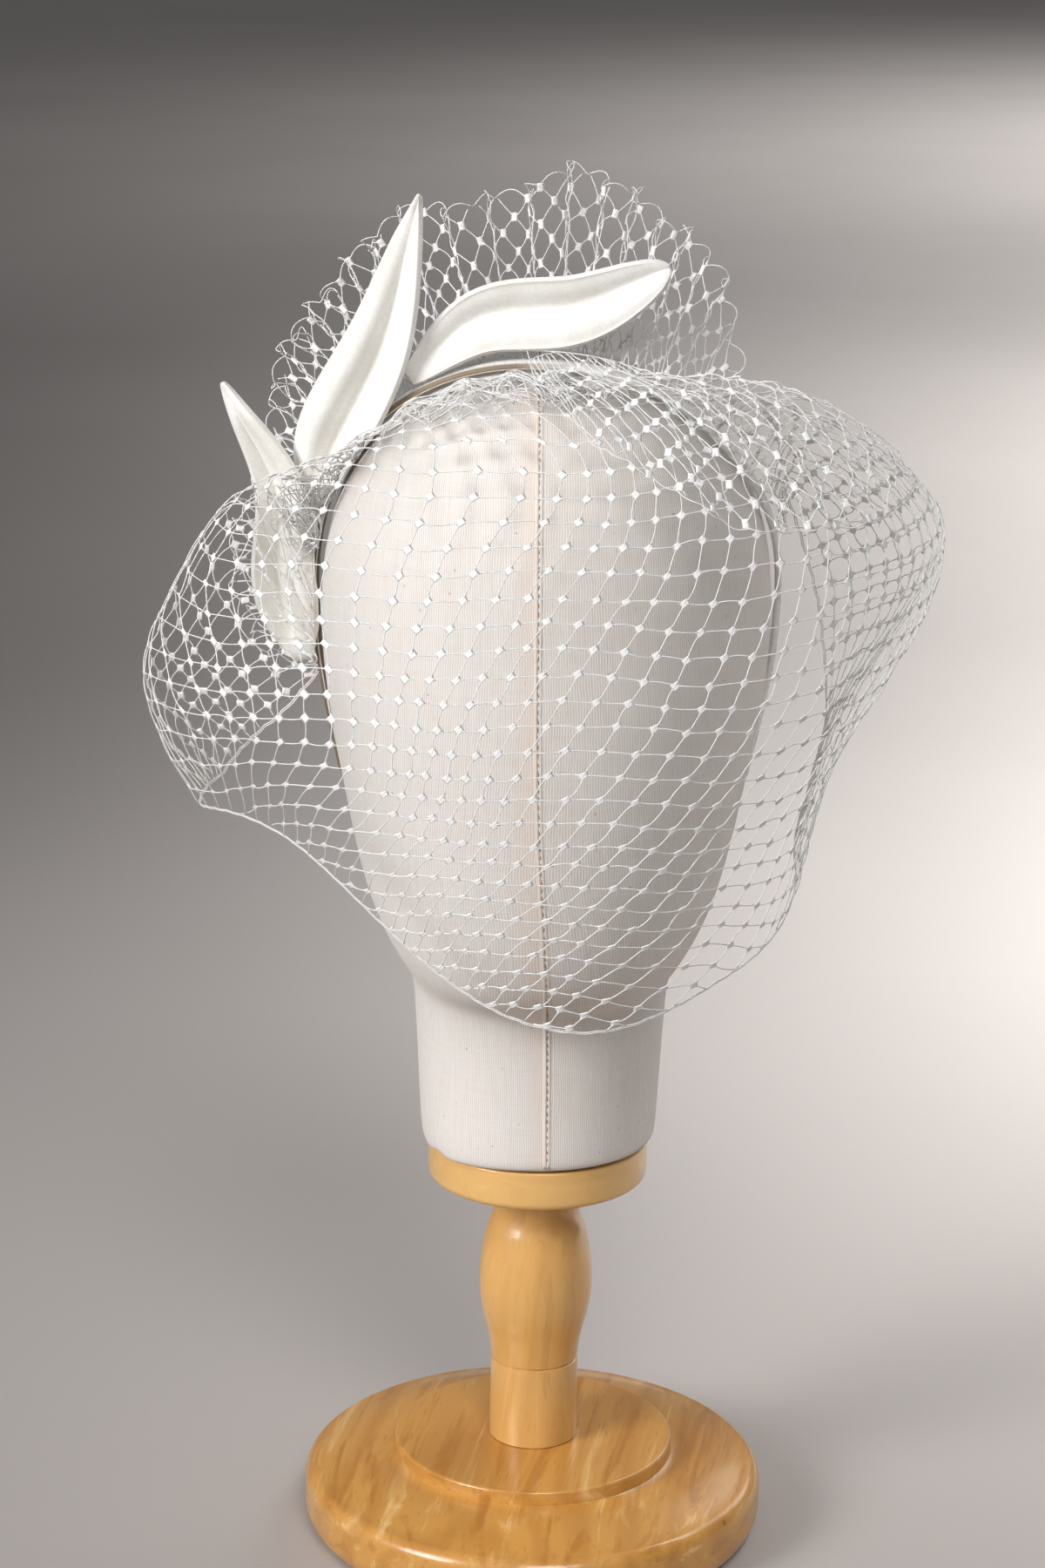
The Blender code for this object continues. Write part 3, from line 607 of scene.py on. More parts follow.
def woodMaterial(name, centre, turn, paintedLight=0.0, knotted=False):
    look = woodLook
    material, tree = newMaterial(name, look["roughness"])
    place = addNode(tree, "ShaderNodeTexCoord")
    mapping = addNode(tree, "ShaderNodeMapping")
    setSockets(mapping, {"Location": centre, "Rotation": [math.radians(angle) for angle in turn]})
    tree.links.new(place.outputs["Object"], mapping.inputs["Vector"])
    grain = useGroup(tree, woodGrain, mapping.outputs["Vector"], {})
    streak, pores = grain.outputs["Streak"], grain.outputs["Pores"]
    colour = colourSteps(tree, streak, [(step, look[tone]) for step, tone in look["streaks"]])
    colour = laidOver(tree, colour, look["amber"], grain.outputs["Bands"], look["bandsFrom"], look["bands"])
    colour = mixColours(tree, mathNode(tree, "MULTIPLY", pores, look["pores"]), colour, look["dark"])
    # a paler copy of the wood, lifted toward cream: painted light
    if paintedLight:
        colour = mixColours(tree, paintedLight, colour, look["cream"])
    if knotted:
        colour = knotOver(tree, place, colour)
    return finishLook(material, look, colour, streak, mathNode(tree, "SUBTRACT", streak, pores))


stitchLook = {
    "brown": (0.30, 0.17, 0.10),
    "worn": (0.52, 0.36, 0.25),
    "fibreScale": 900,
    "mottleScale": 140,
    "roughness": 0.75,
    "bump": 0.0001,
    "tones": (0.35, 0.65),
    "sockets": {},
    "bumpStrength": 0.4,
}


def stitchMaterial():
    look = stitchLook
    material, tree = newMaterial("brownStitch", look["roughness"])
    fuzz = fuzzOver(tree, look["fibreScale"], look["mottleScale"])
    tone = spread(tree, fuzz.outputs["Mottle"], *look["tones"])
    colour = mixColours(tree, tone, look["brown"], look["worn"])
    return finishLook(material, look, colour, relief=fuzz.outputs["Fibre"])


floorLook = {
    "darker": (0.475, 0.440, 0.420),
    "lighter": (0.505, 0.470, 0.450),
    "mottleScale": 1.6,
    "roughness": 0.9,
    "tones": (0.3, 0.7),
    "sockets": {"Specular IOR Level": 0.1},
}


def floorMaterial():
    look = floorLook
    material, tree = newMaterial("paleFloor", look["roughness"])
    place = addNode(tree, "ShaderNodeTexCoord")
    soft = noiseNode(tree, place.outputs["Object"], look["mottleScale"], 2)
    colour = mixColours(tree, spread(tree, soft, *look["tones"]), look["darker"], look["lighter"])
    return finishLook(material, look, colour)


linen = linenMaterial()
thread = threadMaterial()
felt = feltMaterial()
tape = wrapMaterial()
stitchThread = stitchMaterial()
baseWood = woodMaterial("baseWood", (0.31, 0.02, 0.013), (4, 2, 99), knotted=True)
# the post and collar are paler copies of the same wood: painted light
postWood = woodMaterial("postWood", (0.12, 0.07, 0.21), (3, 88, 12), paintedLight=0.42)
collarWood = woodMaterial("collarWood", (0.44, 0.11, 0.03), (2, -3, -9), paintedLight=0.68)
print("materials made")


# Floor and light

studio = {
    "floorHalf": 40.0,
    "world": (0.97, 0.98, 1.0),
    "worldStrength": 0.175,
}
lamps = [
    {"name": "windowLight", "place": (-1.55, -1.15, 1.15), "aim": (0.05, 0.0, 0.31),
     "size": 1.0, "spread": 43.0, "power": 3.75, "colour": (1.0, 0.99, 0.985)},
    {"name": "roomFill", "place": (0.30, -1.25, 1.6), "aim": (0.08, -0.03, 0.40),
     "size": 1.1, "spread": 29.0, "power": 1.45, "colour": (1.0, 0.99, 0.99)},
    {"name": "backLight", "place": (0.95, 1.35, 1.25), "aim": (0.05, 0.0, 0.36),
     "size": 1.0, "spread": 42.0, "power": 0.44, "colour": (1.0, 0.99, 0.98)},
    # three lamps low over the floor make it brighten toward the right
    {"name": "nearGlow", "place": (1.02, 0.68, 1.06), "aim": (0.92, 0.72, 0.0),
     "size": 0.9, "spread": 84.0, "power": 13.5, "colour": (1.0, 0.995, 0.99)},
    {"name": "midGlow", "place": (1.44, 1.94, 1.68), "aim": (1.34, 1.99, 0.0),
     "size": 1.2, "spread": 86.0, "power": 28.0, "colour": (1.0, 0.995, 0.99)},
    {"name": "farGlow", "place": (3.0, 4.7, 2.5), "aim": (2.9, 4.74, 0.0),
     "size": 2.4, "spread": 113.0, "power": 140.0, "colour": (1.0, 0.995, 0.99)},
]


def setStudio():
    bpy.context.scene.view_settings.view_transform = "Standard"
    deselectAll()
    bpy.ops.mesh.primitive_plane_add(size=2 * studio["floorHalf"], location=(0, 0, 0))
    ground = bpy.context.object
    ground.name = "paleFloor"
    makeActive(ground)
    bpy.ops.object.transform_apply(location=True, rotation=True, scale=True)
    ground.data.materials.append(floorMaterial())
    world = bpy.data.worlds.new("studioWorld")
    world.use_nodes = True
    sky = world.node_tree.nodes["Background"]
    sky.inputs["Color"].default_value = (*studio["world"], 1.0)
    sky.inputs["Strength"].default_value = studio["worldStrength"]
    bpy.context.scene.world = world
    for lamp in lamps:
        light = bpy.data.lights.new(lamp["name"], "AREA")
        light.size = lamp["size"]
        light.energy = lamp["power"]
        light.spread = math.radians(lamp["spread"])
        light.color = lamp["colour"]
        holder = addObject(lamp["name"], light)
        holder.location = lamp["place"]
        toward = Vector(lamp["aim"]) - Vector(lamp["place"])
        holder.rotation_euler = toward.to_track_quat("-Z", "Y").to_euler()


setStudio()
print("floor and lights set")


# Turned wood: a disc is drawn out ring by ring along its outline

def turnedWood(name, outline, segments, material):
    deselectAll()
    radius, height = outline[0]
    bpy.ops.mesh.primitive_circle_add(vertices=segments, radius=radius, fill_type="NGON",
                                      location=(0, 0, height))
    piece = bpy.context.object
    makeActive(piece)
    bpy.ops.object.transform_apply(location=True, rotation=True, scale=True)
    bpy.ops.object.mode_set(mode="EDIT")
    bpy.ops.mesh.select_mode(type="FACE")
    bpy.ops.mesh.select_all(action="SELECT")
    for nextRadius, nextHeight in outline[1:]:
        bpy.ops.mesh.extrude_region_move(TRANSFORM_OT_translate={"value": (0, 0, nextHeight - height)})
        ratio = nextRadius / radius
        bpy.ops.transform.resize(value=(ratio, ratio, 1), center_override=(0, 0, nextHeight))
        radius, height = nextRadius, nextHeight
    bpy.ops.object.mode_set(mode="OBJECT")
    turnFacesOut(piece)
    bpy.ops.object.shade_smooth_by_angle(angle=math.radians(stand["sharpAngle"]))
    return settle(piece, name, material)


def roundOver(centreRadius, centreHeight, width, rise, fromAngle, toAngle, steps):
    corner = []
    for step in range(steps + 1):
        angle = math.radians(fromAngle + (toAngle - fromAngle) * step / steps)
        corner.append((centreRadius + width * math.cos(angle), centreHeight + rise * math.sin(angle)))
    return corner


stand = {
    "segments": 128,
    "postSegments": 96,
    "sharpAngle": 35,
    "baseRadius": 0.0867,
    "lowRound": (0.0083, 0.0100),
    "side": 0.0073,
    "topRound": (0.0050, 0.0062),
    "domeRise": 0.0052,
    "stepRadius": 0.0526,
    "stepHeight": 0.0060,
    "stepRound": 0.0012,
    "stepCove": (0.0008, 0.0005),
    "postSeat": 0.024,
    "collarRadius": 0.0408,
    "collarFoot": 0.1403,
    "collarTop": 0.1552,
    "collarRound": 0.0030,
    "collarEdge": 0.0008,
}
# the post's radius at each height, from its foot up
postTurning = [
    (0.0166, 0.0350), (0.0165, 0.0500), (0.0164, 0.0652), (0.0159, 0.0665), (0.0163, 0.0678),
    (0.0178, 0.0771), (0.0197, 0.0846), (0.0210, 0.0920), (0.0213, 0.0987), (0.0205, 0.1094),
    (0.0185, 0.1189), (0.0163, 0.1250), (0.0156, 0.1310), (0.0156, 0.1400)]
# radius at each height above or below the joint line
postJoint = {
    "height": 0.0665,
    "reach": 0.0014,
    "groove": [(0.01630, -0.0012), (0.01625, -0.0005), (0.01555, -0.0001), (0.01555, 0.0001),
               (0.01620, 0.0005), (0.01628, 0.0012)],
}


def buildBase():
    radius = stand["baseRadius"]
    lowWidth, lowRise = stand["lowRound"]
    topWidth, topRise = stand["topRound"]
    sideTop = lowRise + stand["side"]
    rimTop = sideTop + topRise
    stepFoot = rimTop + stand["domeRise"]
    stepTop = stepFoot + stand["stepHeight"]
    edge = stand["stepRound"]
    coveWidth, coveRise = stand["stepCove"]
    domeStart, domeEnd = radius - topWidth, stand["stepRadius"] + coveWidth
    outline = roundOver(radius - lowWidth, lowRise, lowWidth, lowRise, -90, 0, 10)
    outline += roundOver(domeStart, sideTop, topWidth, topRise, 0, 90, 10)
    for share in np.linspace(0, 1, 9)[1:-1]:
        outline.append((domeStart + (domeEnd - domeStart) * share,
                        rimTop + stand["domeRise"] * math.sin(share * math.pi / 2)))
    # a fine worn cove where the raised step meets the dome
    outline.append((domeEnd, stepFoot))
    outline.append((stand["stepRadius"], stepFoot + coveRise))
    outline += roundOver(stand["stepRadius"] - edge, stepTop - edge, edge, edge, 0, 90, 5)
    outline.append((stand["postSeat"], stepTop))
    base = turnedWood("turnedBase", outline, stand["segments"], baseWood)
    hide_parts("stand_base")


def buildPost():
    radii, heights = np.array(postTurning).T
    fine = []
    for place in np.linspace(0, 1, 60):
        height = heights[0] + (heights[-1] - heights[0]) * place
        at = np.interp(height, heights, np.arange(len(heights)))
        fine.append((float(through(radii, at)), height))
    # the joint between the plain foot and the turned vase is a fine sharp line
    joint = postJoint["height"]
    fine = [ring for ring in fine if abs(ring[1] - joint) > postJoint["reach"]]
    fine += [(radius, joint + above) for radius, above in postJoint["groove"]]
    fine.sort(key=lambda ring: ring[1])
    post = turnedWood("turnedPost", fine, stand["postSegments"], postWood)
    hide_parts("stand_post")


def buildCollar():
    radius, low, high = stand["collarRadius"], stand["collarRound"], stand["collarEdge"]
    outline = roundOver(radius - low, stand["collarFoot"] + low, low, low, -90, 0, 8)
    outline += roundOver(radius - high, stand["collarTop"] - high, high, high, 0, 90, 4)
    collar = turnedWood("neckCollar", outline, stand["segments"], collarWood)
    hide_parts("neck_collar")


buildBase()
buildPost()
buildCollar()
print("stand turned")


# Head form: linen stretched over the padded form

seam = {
    "footZ": 0.158,
    "halfWidth": 0.0017,
    "welt": 0.00030,
    "stitchLength": 0.0019,
    "stitchStep": 0.0030,
    "stitchRadius": 0.00019,
    "stitchFrom": 0.004,
    "stitchLean": 0.00035,
    "stitchVary": (0.7, 1.15),
    "stitchSides": 6,
    "stitchArch": (-0.00005, 0.00020, 0.00026, 0.00020, -0.00005),
    "middleZ": 0.345,
    "lineStep": 0.002,
    "castFrom": 0.3,
    # the welt's outline, as shares of its half width and of its height, then how deep its underside lies
    "fold": ((0.72, 0.45), (0.36, 1.0), (0.12, 0.55)),
    "otherFold": ((0.12, 0.5), (0.36, 0.85), (0.72, 0.4)),
    "groove": -0.00010,
    "sunk": -0.0002,
    "underside": -0.0006,
    "undersideHalf": 0.4,
    # how the seam wanders from side to side, from the front of the neck over the crown to the back
    "wander": (0.0032, 0.0020, -0.0020, -0.0032, -0.0037, -0.0020, 0.0, 0.0, 0.0),
    # the same down the front of the head, by height
    "heights": (0.158, 0.212, 0.2385, 0.262, 0.280, 0.340, 0.400, 0.449),
    "shifts": (0.0032, 0.0024, 0.0018, 0.0004, -0.0016, -0.0018, -0.0034, -0.0037),
}
headForm = {
    "crownBase": 0.3600,
    "crownRise": 0.0890,
    "power": 2.15,
    "halfWidth": 0.0808,
    "front": 0.0920,
    "back": 0.0970,
    "mergeWithin": 0.00002,
    "quadAngle": 60.0,
    "rounding": 2,
    "mapLevels": 60,
    "mapReach": 0.006,
    "behind": 0.75,
}


def flatClothMap(piece):
    # cloth map in metres: X is the way round from the centre seam, Y the way up and over the crown
    mesh = piece.data
    points = np.zeros(len(mesh.vertices) * 3)
    mesh.vertices.foreach_get("co", points)
    points = points.reshape(-1, 3)
    levels = np.linspace(points[:, 2].min(), points[:, 2].max(), headForm["mapLevels"])
    reach = []
    for level in levels:
        ring = points[np.abs(points[:, 2] - level) < headForm["mapReach"]]
        reach.append(np.abs(ring[:, 0]).max())
    climb = np.concatenate([[0], np.cumsum(np.hypot(np.diff(levels), np.diff(reach)))])
    angle = np.arctan2(points[:, 0], -points[:, 1])
    width = np.interp(points[:, 2], levels, reach)
    up = np.interp(points[:, 2], levels, climb)
    cornerVerts = np.zeros(len(mesh.loops), dtype=np.int32)
    mesh.loops.foreach_get("vertex_index", cornerVerts)
    cornerAngle = angle[cornerVerts]
    starts = np.zeros(len(mesh.polygons), dtype=np.int32)
    totals = np.zeros(len(mesh.polygons), dtype=np.int32)
    mesh.polygons.foreach_get("loop_start", starts)
    mesh.polygons.foreach_get("loop_total", totals)
    owner = np.repeat(np.arange(len(starts)), totals)
    mean = np.zeros(len(starts))
    np.add.at(mean, owner, np.sign(cornerAngle))
    # faces across the back take all their corners from one side
    wraps = np.abs(cornerAngle) > math.pi * headForm["behind"]
    side = np.where(mean[owner] >= 0, 1.0, -1.0)
    cornerAngle = np.where(wraps & (np.sign(cornerAngle) != side), cornerAngle + side * math.tau, cornerAngle)
    seamShift = np.interp(points[cornerVerts, 2], seam["heights"], seam["shifts"])
    fromSeam = cornerAngle * width[cornerVerts] - seamShift
    uv = np.stack([fromSeam, up[cornerVerts]], axis=1)
    layer = mesh.uv_layers.new(name="cloth")
    layer.data.foreach_set("uv", uv.astype(np.float32).ravel())


def buildHead():
    piece = addObject("linenHead", cadNodes["head_form"].data.copy())
    makeActive(piece)
    bpy.ops.object.mode_set(mode="EDIT")
    bpy.ops.mesh.select_all(action="SELECT")
    bpy.ops.mesh.remove_doubles(threshold=headForm["mergeWithin"])
    quadAngle = math.radians(headForm["quadAngle"])
    bpy.ops.mesh.tris_convert_to_quads(face_threshold=quadAngle, shape_threshold=quadAngle)
    bpy.ops.mesh.customdata_custom_splitnormals_clear()
    bpy.ops.object.mode_set(mode="OBJECT")
    for layer in list(piece.data.uv_layers):
        piece.data.uv_layers.remove(layer)
    makeActive(piece)
    bpy.ops.object.shade_smooth()
    roundOff(piece, headForm["rounding"])
    applyAll(piece)
    flatClothMap(piece)
    settle(piece, "linenHead", linen)
    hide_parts("head_form")
    return piece


head = buildHead()
headTree = BVHTree.FromObject(head, bpy.context.evaluated_depsgraph_get())
print("head covered")


# Seam down the middle of the head, with its welt and stitches

def seamLine():
    # points and normals up the front, over the crown and down the back
    hits = []
    starts = []
    middle, away, step = seam["middleZ"], seam["castFrom"], seam["lineStep"]
    for height in np.arange(seam["footZ"], middle, step):
        starts.append(((0, -away, height), (0, 1, 0)))
    for angle in np.linspace(-90, 90, 110):
        out = Vector((0, math.sin(math.radians(angle)), math.cos(math.radians(angle))))
        starts.append((Vector((0, 0, middle)) + out * away, -out))
    for height in np.arange(middle, seam["footZ"], -step):
        starts.append(((0, away, height), (0, -1, 0)))
    for index, (start, toward) in enumerate(starts):
        start = Vector(start)
        place = index / (len(starts) - 1) * (len(seam["wander"]) - 1)
        start.x += float(through(seam["wander"], place))
        point, normal, _, _ = headTree.ray_cast(start, Vector(toward))
        if point is not None:
            hits.append((point, normal))
    return hits


def weltSection():
    # a low fold on each side and the sewn groove between them, closed underneath
    half, rise = seam["halfWidth"], seam["welt"]
    section = [(-half, seam["sunk"])]
    section += [(-half * out, rise * up) for out, up in seam["fold"]]
    section.append((0.0, seam["groove"]))
    section += [(half * out, rise * up) for out, up in seam["otherFold"]]
    section.append((half, seam["sunk"]))
    return section + [(side * half * seam["undersideHalf"], seam["underside"]) for side in (1, -1)]


def buildWelt(points, normals, across, length):
    section = weltSection()
    count, size = len(points), len(section)
    rings = np.array([[points[i] + across[i] * a + normals[i] * n for a, n in section] for i in range(count)])
    uvs = np.array([[(a, length[i]) for a, _ in section] for i in range(count)]).reshape(-1, 2)
    welt = arrayMesh("seamWelt", rings.reshape(-1, 3), tubeFaces(1, count, size), "cloth", uvs)
    turnFacesOut(welt)
    settle(welt, "seamWelt", linen)


def buildStitches(points, normals, across, length):
    # small stitches show along the groove
    stops = np.arange(seam["stitchFrom"], length[-1] - seam["stitchFrom"], seam["stitchStep"])
    arch = np.array(seam["stitchArch"])[:, None]
    steps = len(arch)
    rng = np.random.default_rng(11)
    lines, ups = [], []
    for stop in stops:
        reach = seam["stitchLength"] * rng.uniform(*seam["stitchVary"])
        places = np.linspace(stop - reach / 2, stop + reach / 2, steps)
        line, up, side = [np.stack([np.interp(places, length, values[:, axis]) for axis in range(3)], axis=1)
                          for values in (points, normals, across)]
        up = normalised(up)
        lean = rng.uniform(-seam["stitchLean"], seam["stitchLean"])
        lines.append(line + up * arch + side * (lean * np.linspace(-1, 1, steps))[:, None])
        ups.append(up)
    tubes = threadTubes(np.array(lines), np.array(ups), seam["stitchRadius"],
                        seam["stitchSides"], 0.0, 1.0)
    stitches = arrayMesh("seamStitches", tubes["points"], tubes["faces"], "ply", tubes["uvs"])
    settle(stitches, "seamStitches", stitchThread)


def buildSeam():
    hits = seamLine()
    points = np.array([point[:] for point, _ in hits])
    normals = normalised(np.array([normal[:] for _, normal in hits]))
    across = normalised(np.cross(normalised(np.gradient(points, axis=0)), normals))
    length = lengthAlong(points)
    buildWelt(points, normals, across, length)
    buildStitches(points, normals, across, length)


def threadTubes(lines, ups, radius, sides, turns, flatness):
    # lines is (threads, points, 3); each becomes a closed tube whose oval section turns along it
    count, steps = lines.shape[:2]
    tangents = normalised(np.gradient(lines, axis=1))
    normal = normalised(ups - tangents * np.sum(ups * tangents, axis=-1, keepdims=True))
    side = np.cross(tangents, normal)
    around = math.tau * np.arange(sides) / sides
    twist = turns * math.tau * np.arange(steps) / max(steps - 1, 1)
    first = radius * np.cos(around)
    second = radius * flatness * np.sin(around)
    up = first[None, :] * np.cos(twist)[:, None] - second[None, :] * np.sin(twist)[:, None]
    out = first[None, :] * np.sin(twist)[:, None] + second[None, :] * np.cos(twist)[:, None]
    points = (lines[:, :, None, :] + normal[:, :, None, :] * up[None, :, :, None]
              + side[:, :, None, :] * out[None, :, :, None])
    # the rings run the other way round here, so each face is turned over
    quads, caps = tubeFaces(count, steps, sides)
    lengths = np.linalg.norm(np.diff(lines, axis=1), axis=-1)
    run = np.concatenate([np.zeros((count, 1)), np.cumsum(lengths, axis=1)], axis=1)
    uvs = np.stack([np.broadcast_to(run[:, :, None] * 1000, (count, steps, sides)),
                    np.broadcast_to(np.arange(sides) / sides, (count, steps, sides))], axis=-1).reshape(-1, 2)
    return {"points": points.reshape(-1, 3), "faces": [quads[:, [0, 3, 2, 1]], caps[:, ::-1]], "uvs": uvs}


buildSeam()
print("seam sewn")


# Wrapped band

band = {
    "halfWidth": 0.0028,
    "halfThickness": 0.0015,
    "toHead": 0.0007,
    "tipAngle": 140.0,
    "turns": 118,
    "stations": 708,
    "around": 16,
    "valley": 0.30,
    "valleyWidth": 0.32,
    "wrapRidge": 0.045,
    "tipStations": 5,
    "tipLeast": 0.02,
    "tapeWidth": 0.97,
    "tapeThickness": 1.02,
}
bandSet = [{"angle": angle, "y": y} for angle, y in (
    (-140, 0.016), (-110, 0.011), (-90, 0.006), (-70, -0.002), (-40, -0.014), (-15, -0.024), (10, -0.029),
    (35, -0.028), (55, -0.020), (75, -0.006), (90, 0.004), (110, 0.011), (140, 0.016))]
headLevels = [{"z": z, "halfWidth": halfWidth, "front": front} for z, halfWidth, front in (
    (0.2490, 0.0618, 0.0860), (0.2620, 0.0660, 0.0895), (0.2800, 0.0700, 0.0925), (0.3000, 0.0738, 0.0940),
    (0.3200, 0.0775, 0.0945), (0.3400, 0.0802, 0.0940), (0.3600, 0.0808, 0.0920))]
bandLift = band["toHead"] + band["halfThickness"]


def bandPoint(angle):
    angle = np.asarray(angle, dtype=float)
    y = tableAt(bandSet, "angle", angle, "y")
    side = np.sign(angle)
    power = headForm["power"]
    turn = np.radians(np.minimum(np.abs(angle), 90))
    depth = np.where(y < 0, headForm["front"], headForm["back"])
    leftOver = 1 - np.abs(y / depth) ** power
    widened = ((np.sin(turn) / headForm["halfWidth"]) ** power
               + (np.cos(turn) / headForm["crownRise"]) ** power)
    radius = (leftOver / widened) ** (1 / power)
    over = np.stack([side * radius * np.sin(turn), y, headForm["crownBase"] + radius * np.cos(turn)], axis=-1)
    height = headForm["crownBase"] - np.radians(np.maximum(np.abs(angle) - 90, 0)) * headForm["halfWidth"]
    halfWidth, front = [tableAt(headLevels, "z", height, key) for key in ("halfWidth", "front")]
    reach = halfWidth * (1 - np.abs(y / front) ** power) ** (1 / power)
    below = np.stack([side * reach, y, height], axis=-1)
    return np.where((np.abs(angle) <= 90)[..., None], over, below)


def bandFrame(angle):
    angle = np.asarray(angle, dtype=float)
    point = bandPoint(angle)
    tip = band["tipAngle"]
    along = normalised(bandPoint(np.minimum(angle + 1, tip)) - bandPoint(np.maximum(angle - 1, -tip)))
    rise = np.maximum(point[..., 2] - headForm["crownBase"], 0)
    outward = np.stack([point[..., 0] / headForm["halfWidth"] ** 2, point[..., 1] / headForm["front"] ** 2,
                        rise / headForm["crownRise"] ** 2], axis=-1)
    outward = normalised(outward - along * np.sum(outward * along, axis=-1, keepdims=True))
    forward = normalised(np.cross(along, outward))
    forward = np.where(forward[..., 1:2] > 0, -forward, forward)
    return point, outward, forward


def buildBand():
    stations, around = band["stations"], band["around"]
    share = np.linspace(0, 1, stations + 1)
    angles = -band["tipAngle"] + 2 * band["tipAngle"] * share
    point, outward, forward = bandFrame(angles)
    centre = point + outward * bandLift
    turn = math.tau * np.arange(around) / around
    winding = share * band["turns"]
    phase = winding[:, None] + turn[None, :] / math.tau
    # each turn of tape laps over the last, so its edge stands up and then falls away
    lap = phase - np.floor(phase)
    proud = band["wrapRidge"] * (0.5 - lap)
    valley = 1 - band["valley"] * np.exp(-(np.cos(turn) / band["valleyWidth"]) ** 2)
    across = band["halfWidth"] * np.cos(turn)[None, :] * (band["tapeWidth"] + proud)
    above = band["halfThickness"] * (np.sin(turn) * valley)[None, :] * (band["tapeThickness"] + proud)
    tipShare = np.minimum(share, 1 - share) * stations
    closing = np.sqrt(np.clip(tipShare / band["tipStations"], band["tipLeast"], 1))[:, None]
    rings = (centre[:, None, :] + forward[:, None, :] * (across * closing)[..., None]
             + outward[:, None, :] * (above * closing)[..., None])
    uvs = np.stack([phase, np.broadcast_to(turn / math.tau, phase.shape)], axis=-1).reshape(-1, 2)
    faces = tubeFaces(1, stations + 1, around)
    piece = arrayMesh("wrappedBand", rings.reshape(-1, 3), faces, "wrap", uvs)
    turnFacesOut(piece)
    settle(piece, "wrappedBand", tape)
    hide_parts("hair_band")


buildBand()
print("band wrapped")


# Felt leaves

# belly, shoulder and tip are places on the leaf's rib, as X and Z
leaves = [
    {"name": "leafLow", "node": "leaf_low", "foot": -108.0,
     "belly": (-0.0938, 0.3630), "shoulder": (-0.0950, 0.4000), "tip": (-0.1149, 0.4372),
     "halfWidth": 0.0112, "fullest": 0.31, "tipFullness": 0.70, "aheadInner": 0.0056, "aheadOuter": 0.0034,
     "ridgeAt": 0.55, "ridge": 0.0030, "valleyAt": -0.22, "valley": 0.0062,
     "flat": (0.031, 0.118), "area": 0.0024},
    {"name": "leafTall", "node": "leaf_tall", "foot": -66.0,
     "belly": (-0.0768, 0.4190), "shoulder": (-0.0590, 0.4565), "tip": (-0.0457, 0.5055),
     "halfWidth": 0.0131, "fullest": 0.44, "tipFullness": 0.82, "aheadInner": 0.0074, "aheadOuter": -0.0010,
     "ridgeAt": -0.45, "ridge": 0.0034, "valleyAt": 0.16, "valley": 0.0064,
     "flat": (0.036, 0.120), "area": 0.0030},
    {"name": "leafTop", "node": "leaf_top", "foot": -31.0,
     "belly": (-0.0240, 0.4622), "shoulder": (0.0100, 0.4678), "tip": (0.0405, 0.4822),
     "halfWidth": 0.0120, "fullest": 0.52, "tipFullness": 0.46, "aheadInner": 0.0022, "aheadOuter": 0.0,
     "ridgeAt": 0.62, "ridge": 0.0016, "valleyAt": -0.10, "valley": 0.0042,
     "flat": (0.031, 0.106), "area": 0.0023},
]
leafMake = {
    "alongSteps": 44,
    "acrossSteps": 20,
    "wall": 0.0022,
    "rim": 0.0010,
    "footShare": 0.16,
    "tipShare": 0.035,
    "ridgeWidth": 0.42,
    "valleyWidth": 0.40,
    "footRaise": 0.0014,
    "toHead": 0.0008,
    "aheadFrom": (0.10, 0.42),
    "ribStep": 0.02,
    "foldFrom": (0.0, 0.16),
    "rollFrom": 0.80,
}


def leafSwell(leaf, along):
    fullest = leaf["fullest"]
    rising = np.sin(math.pi / 2 * (leafMake["footShare"] + (1 - leafMake["footShare"]) * along / fullest))
    taper = math.pi / 2 * np.clip((along - fullest) / (1 - fullest), 0, 1)
    falling = np.maximum(np.maximum(np.cos(taper), 0) ** leaf["tipFullness"], leafMake["tipShare"])
    return np.where(along < fullest, rising, falling)


def clearOfHead(points, gap):
    power = headForm["power"]
    above = points[..., 2] > headForm["crownBase"]
    halfWidth = np.where(above, headForm["halfWidth"], tableAt(headLevels, "z", points[..., 2], "halfWidth"))
    front = np.where(above, headForm["front"], tableAt(headLevels, "z", points[..., 2], "front"))
    height = np.where(above, points[..., 2] - headForm["crownBase"], 0)
    middle = np.zeros(points.shape)
    middle[..., 2] = np.where(above, headForm["crownBase"], points[..., 2])
    reach = (np.abs(points[..., 0] / halfWidth) ** power + np.abs(points[..., 1] / front) ** power
             + (height / headForm["crownRise"]) ** power) ** (1 / power)
    arm = points - middle
    length = np.linalg.norm(arm, axis=-1)
    needed = np.maximum(length, length / reach + gap)
    return middle + arm / length[..., None] * needed[..., None]


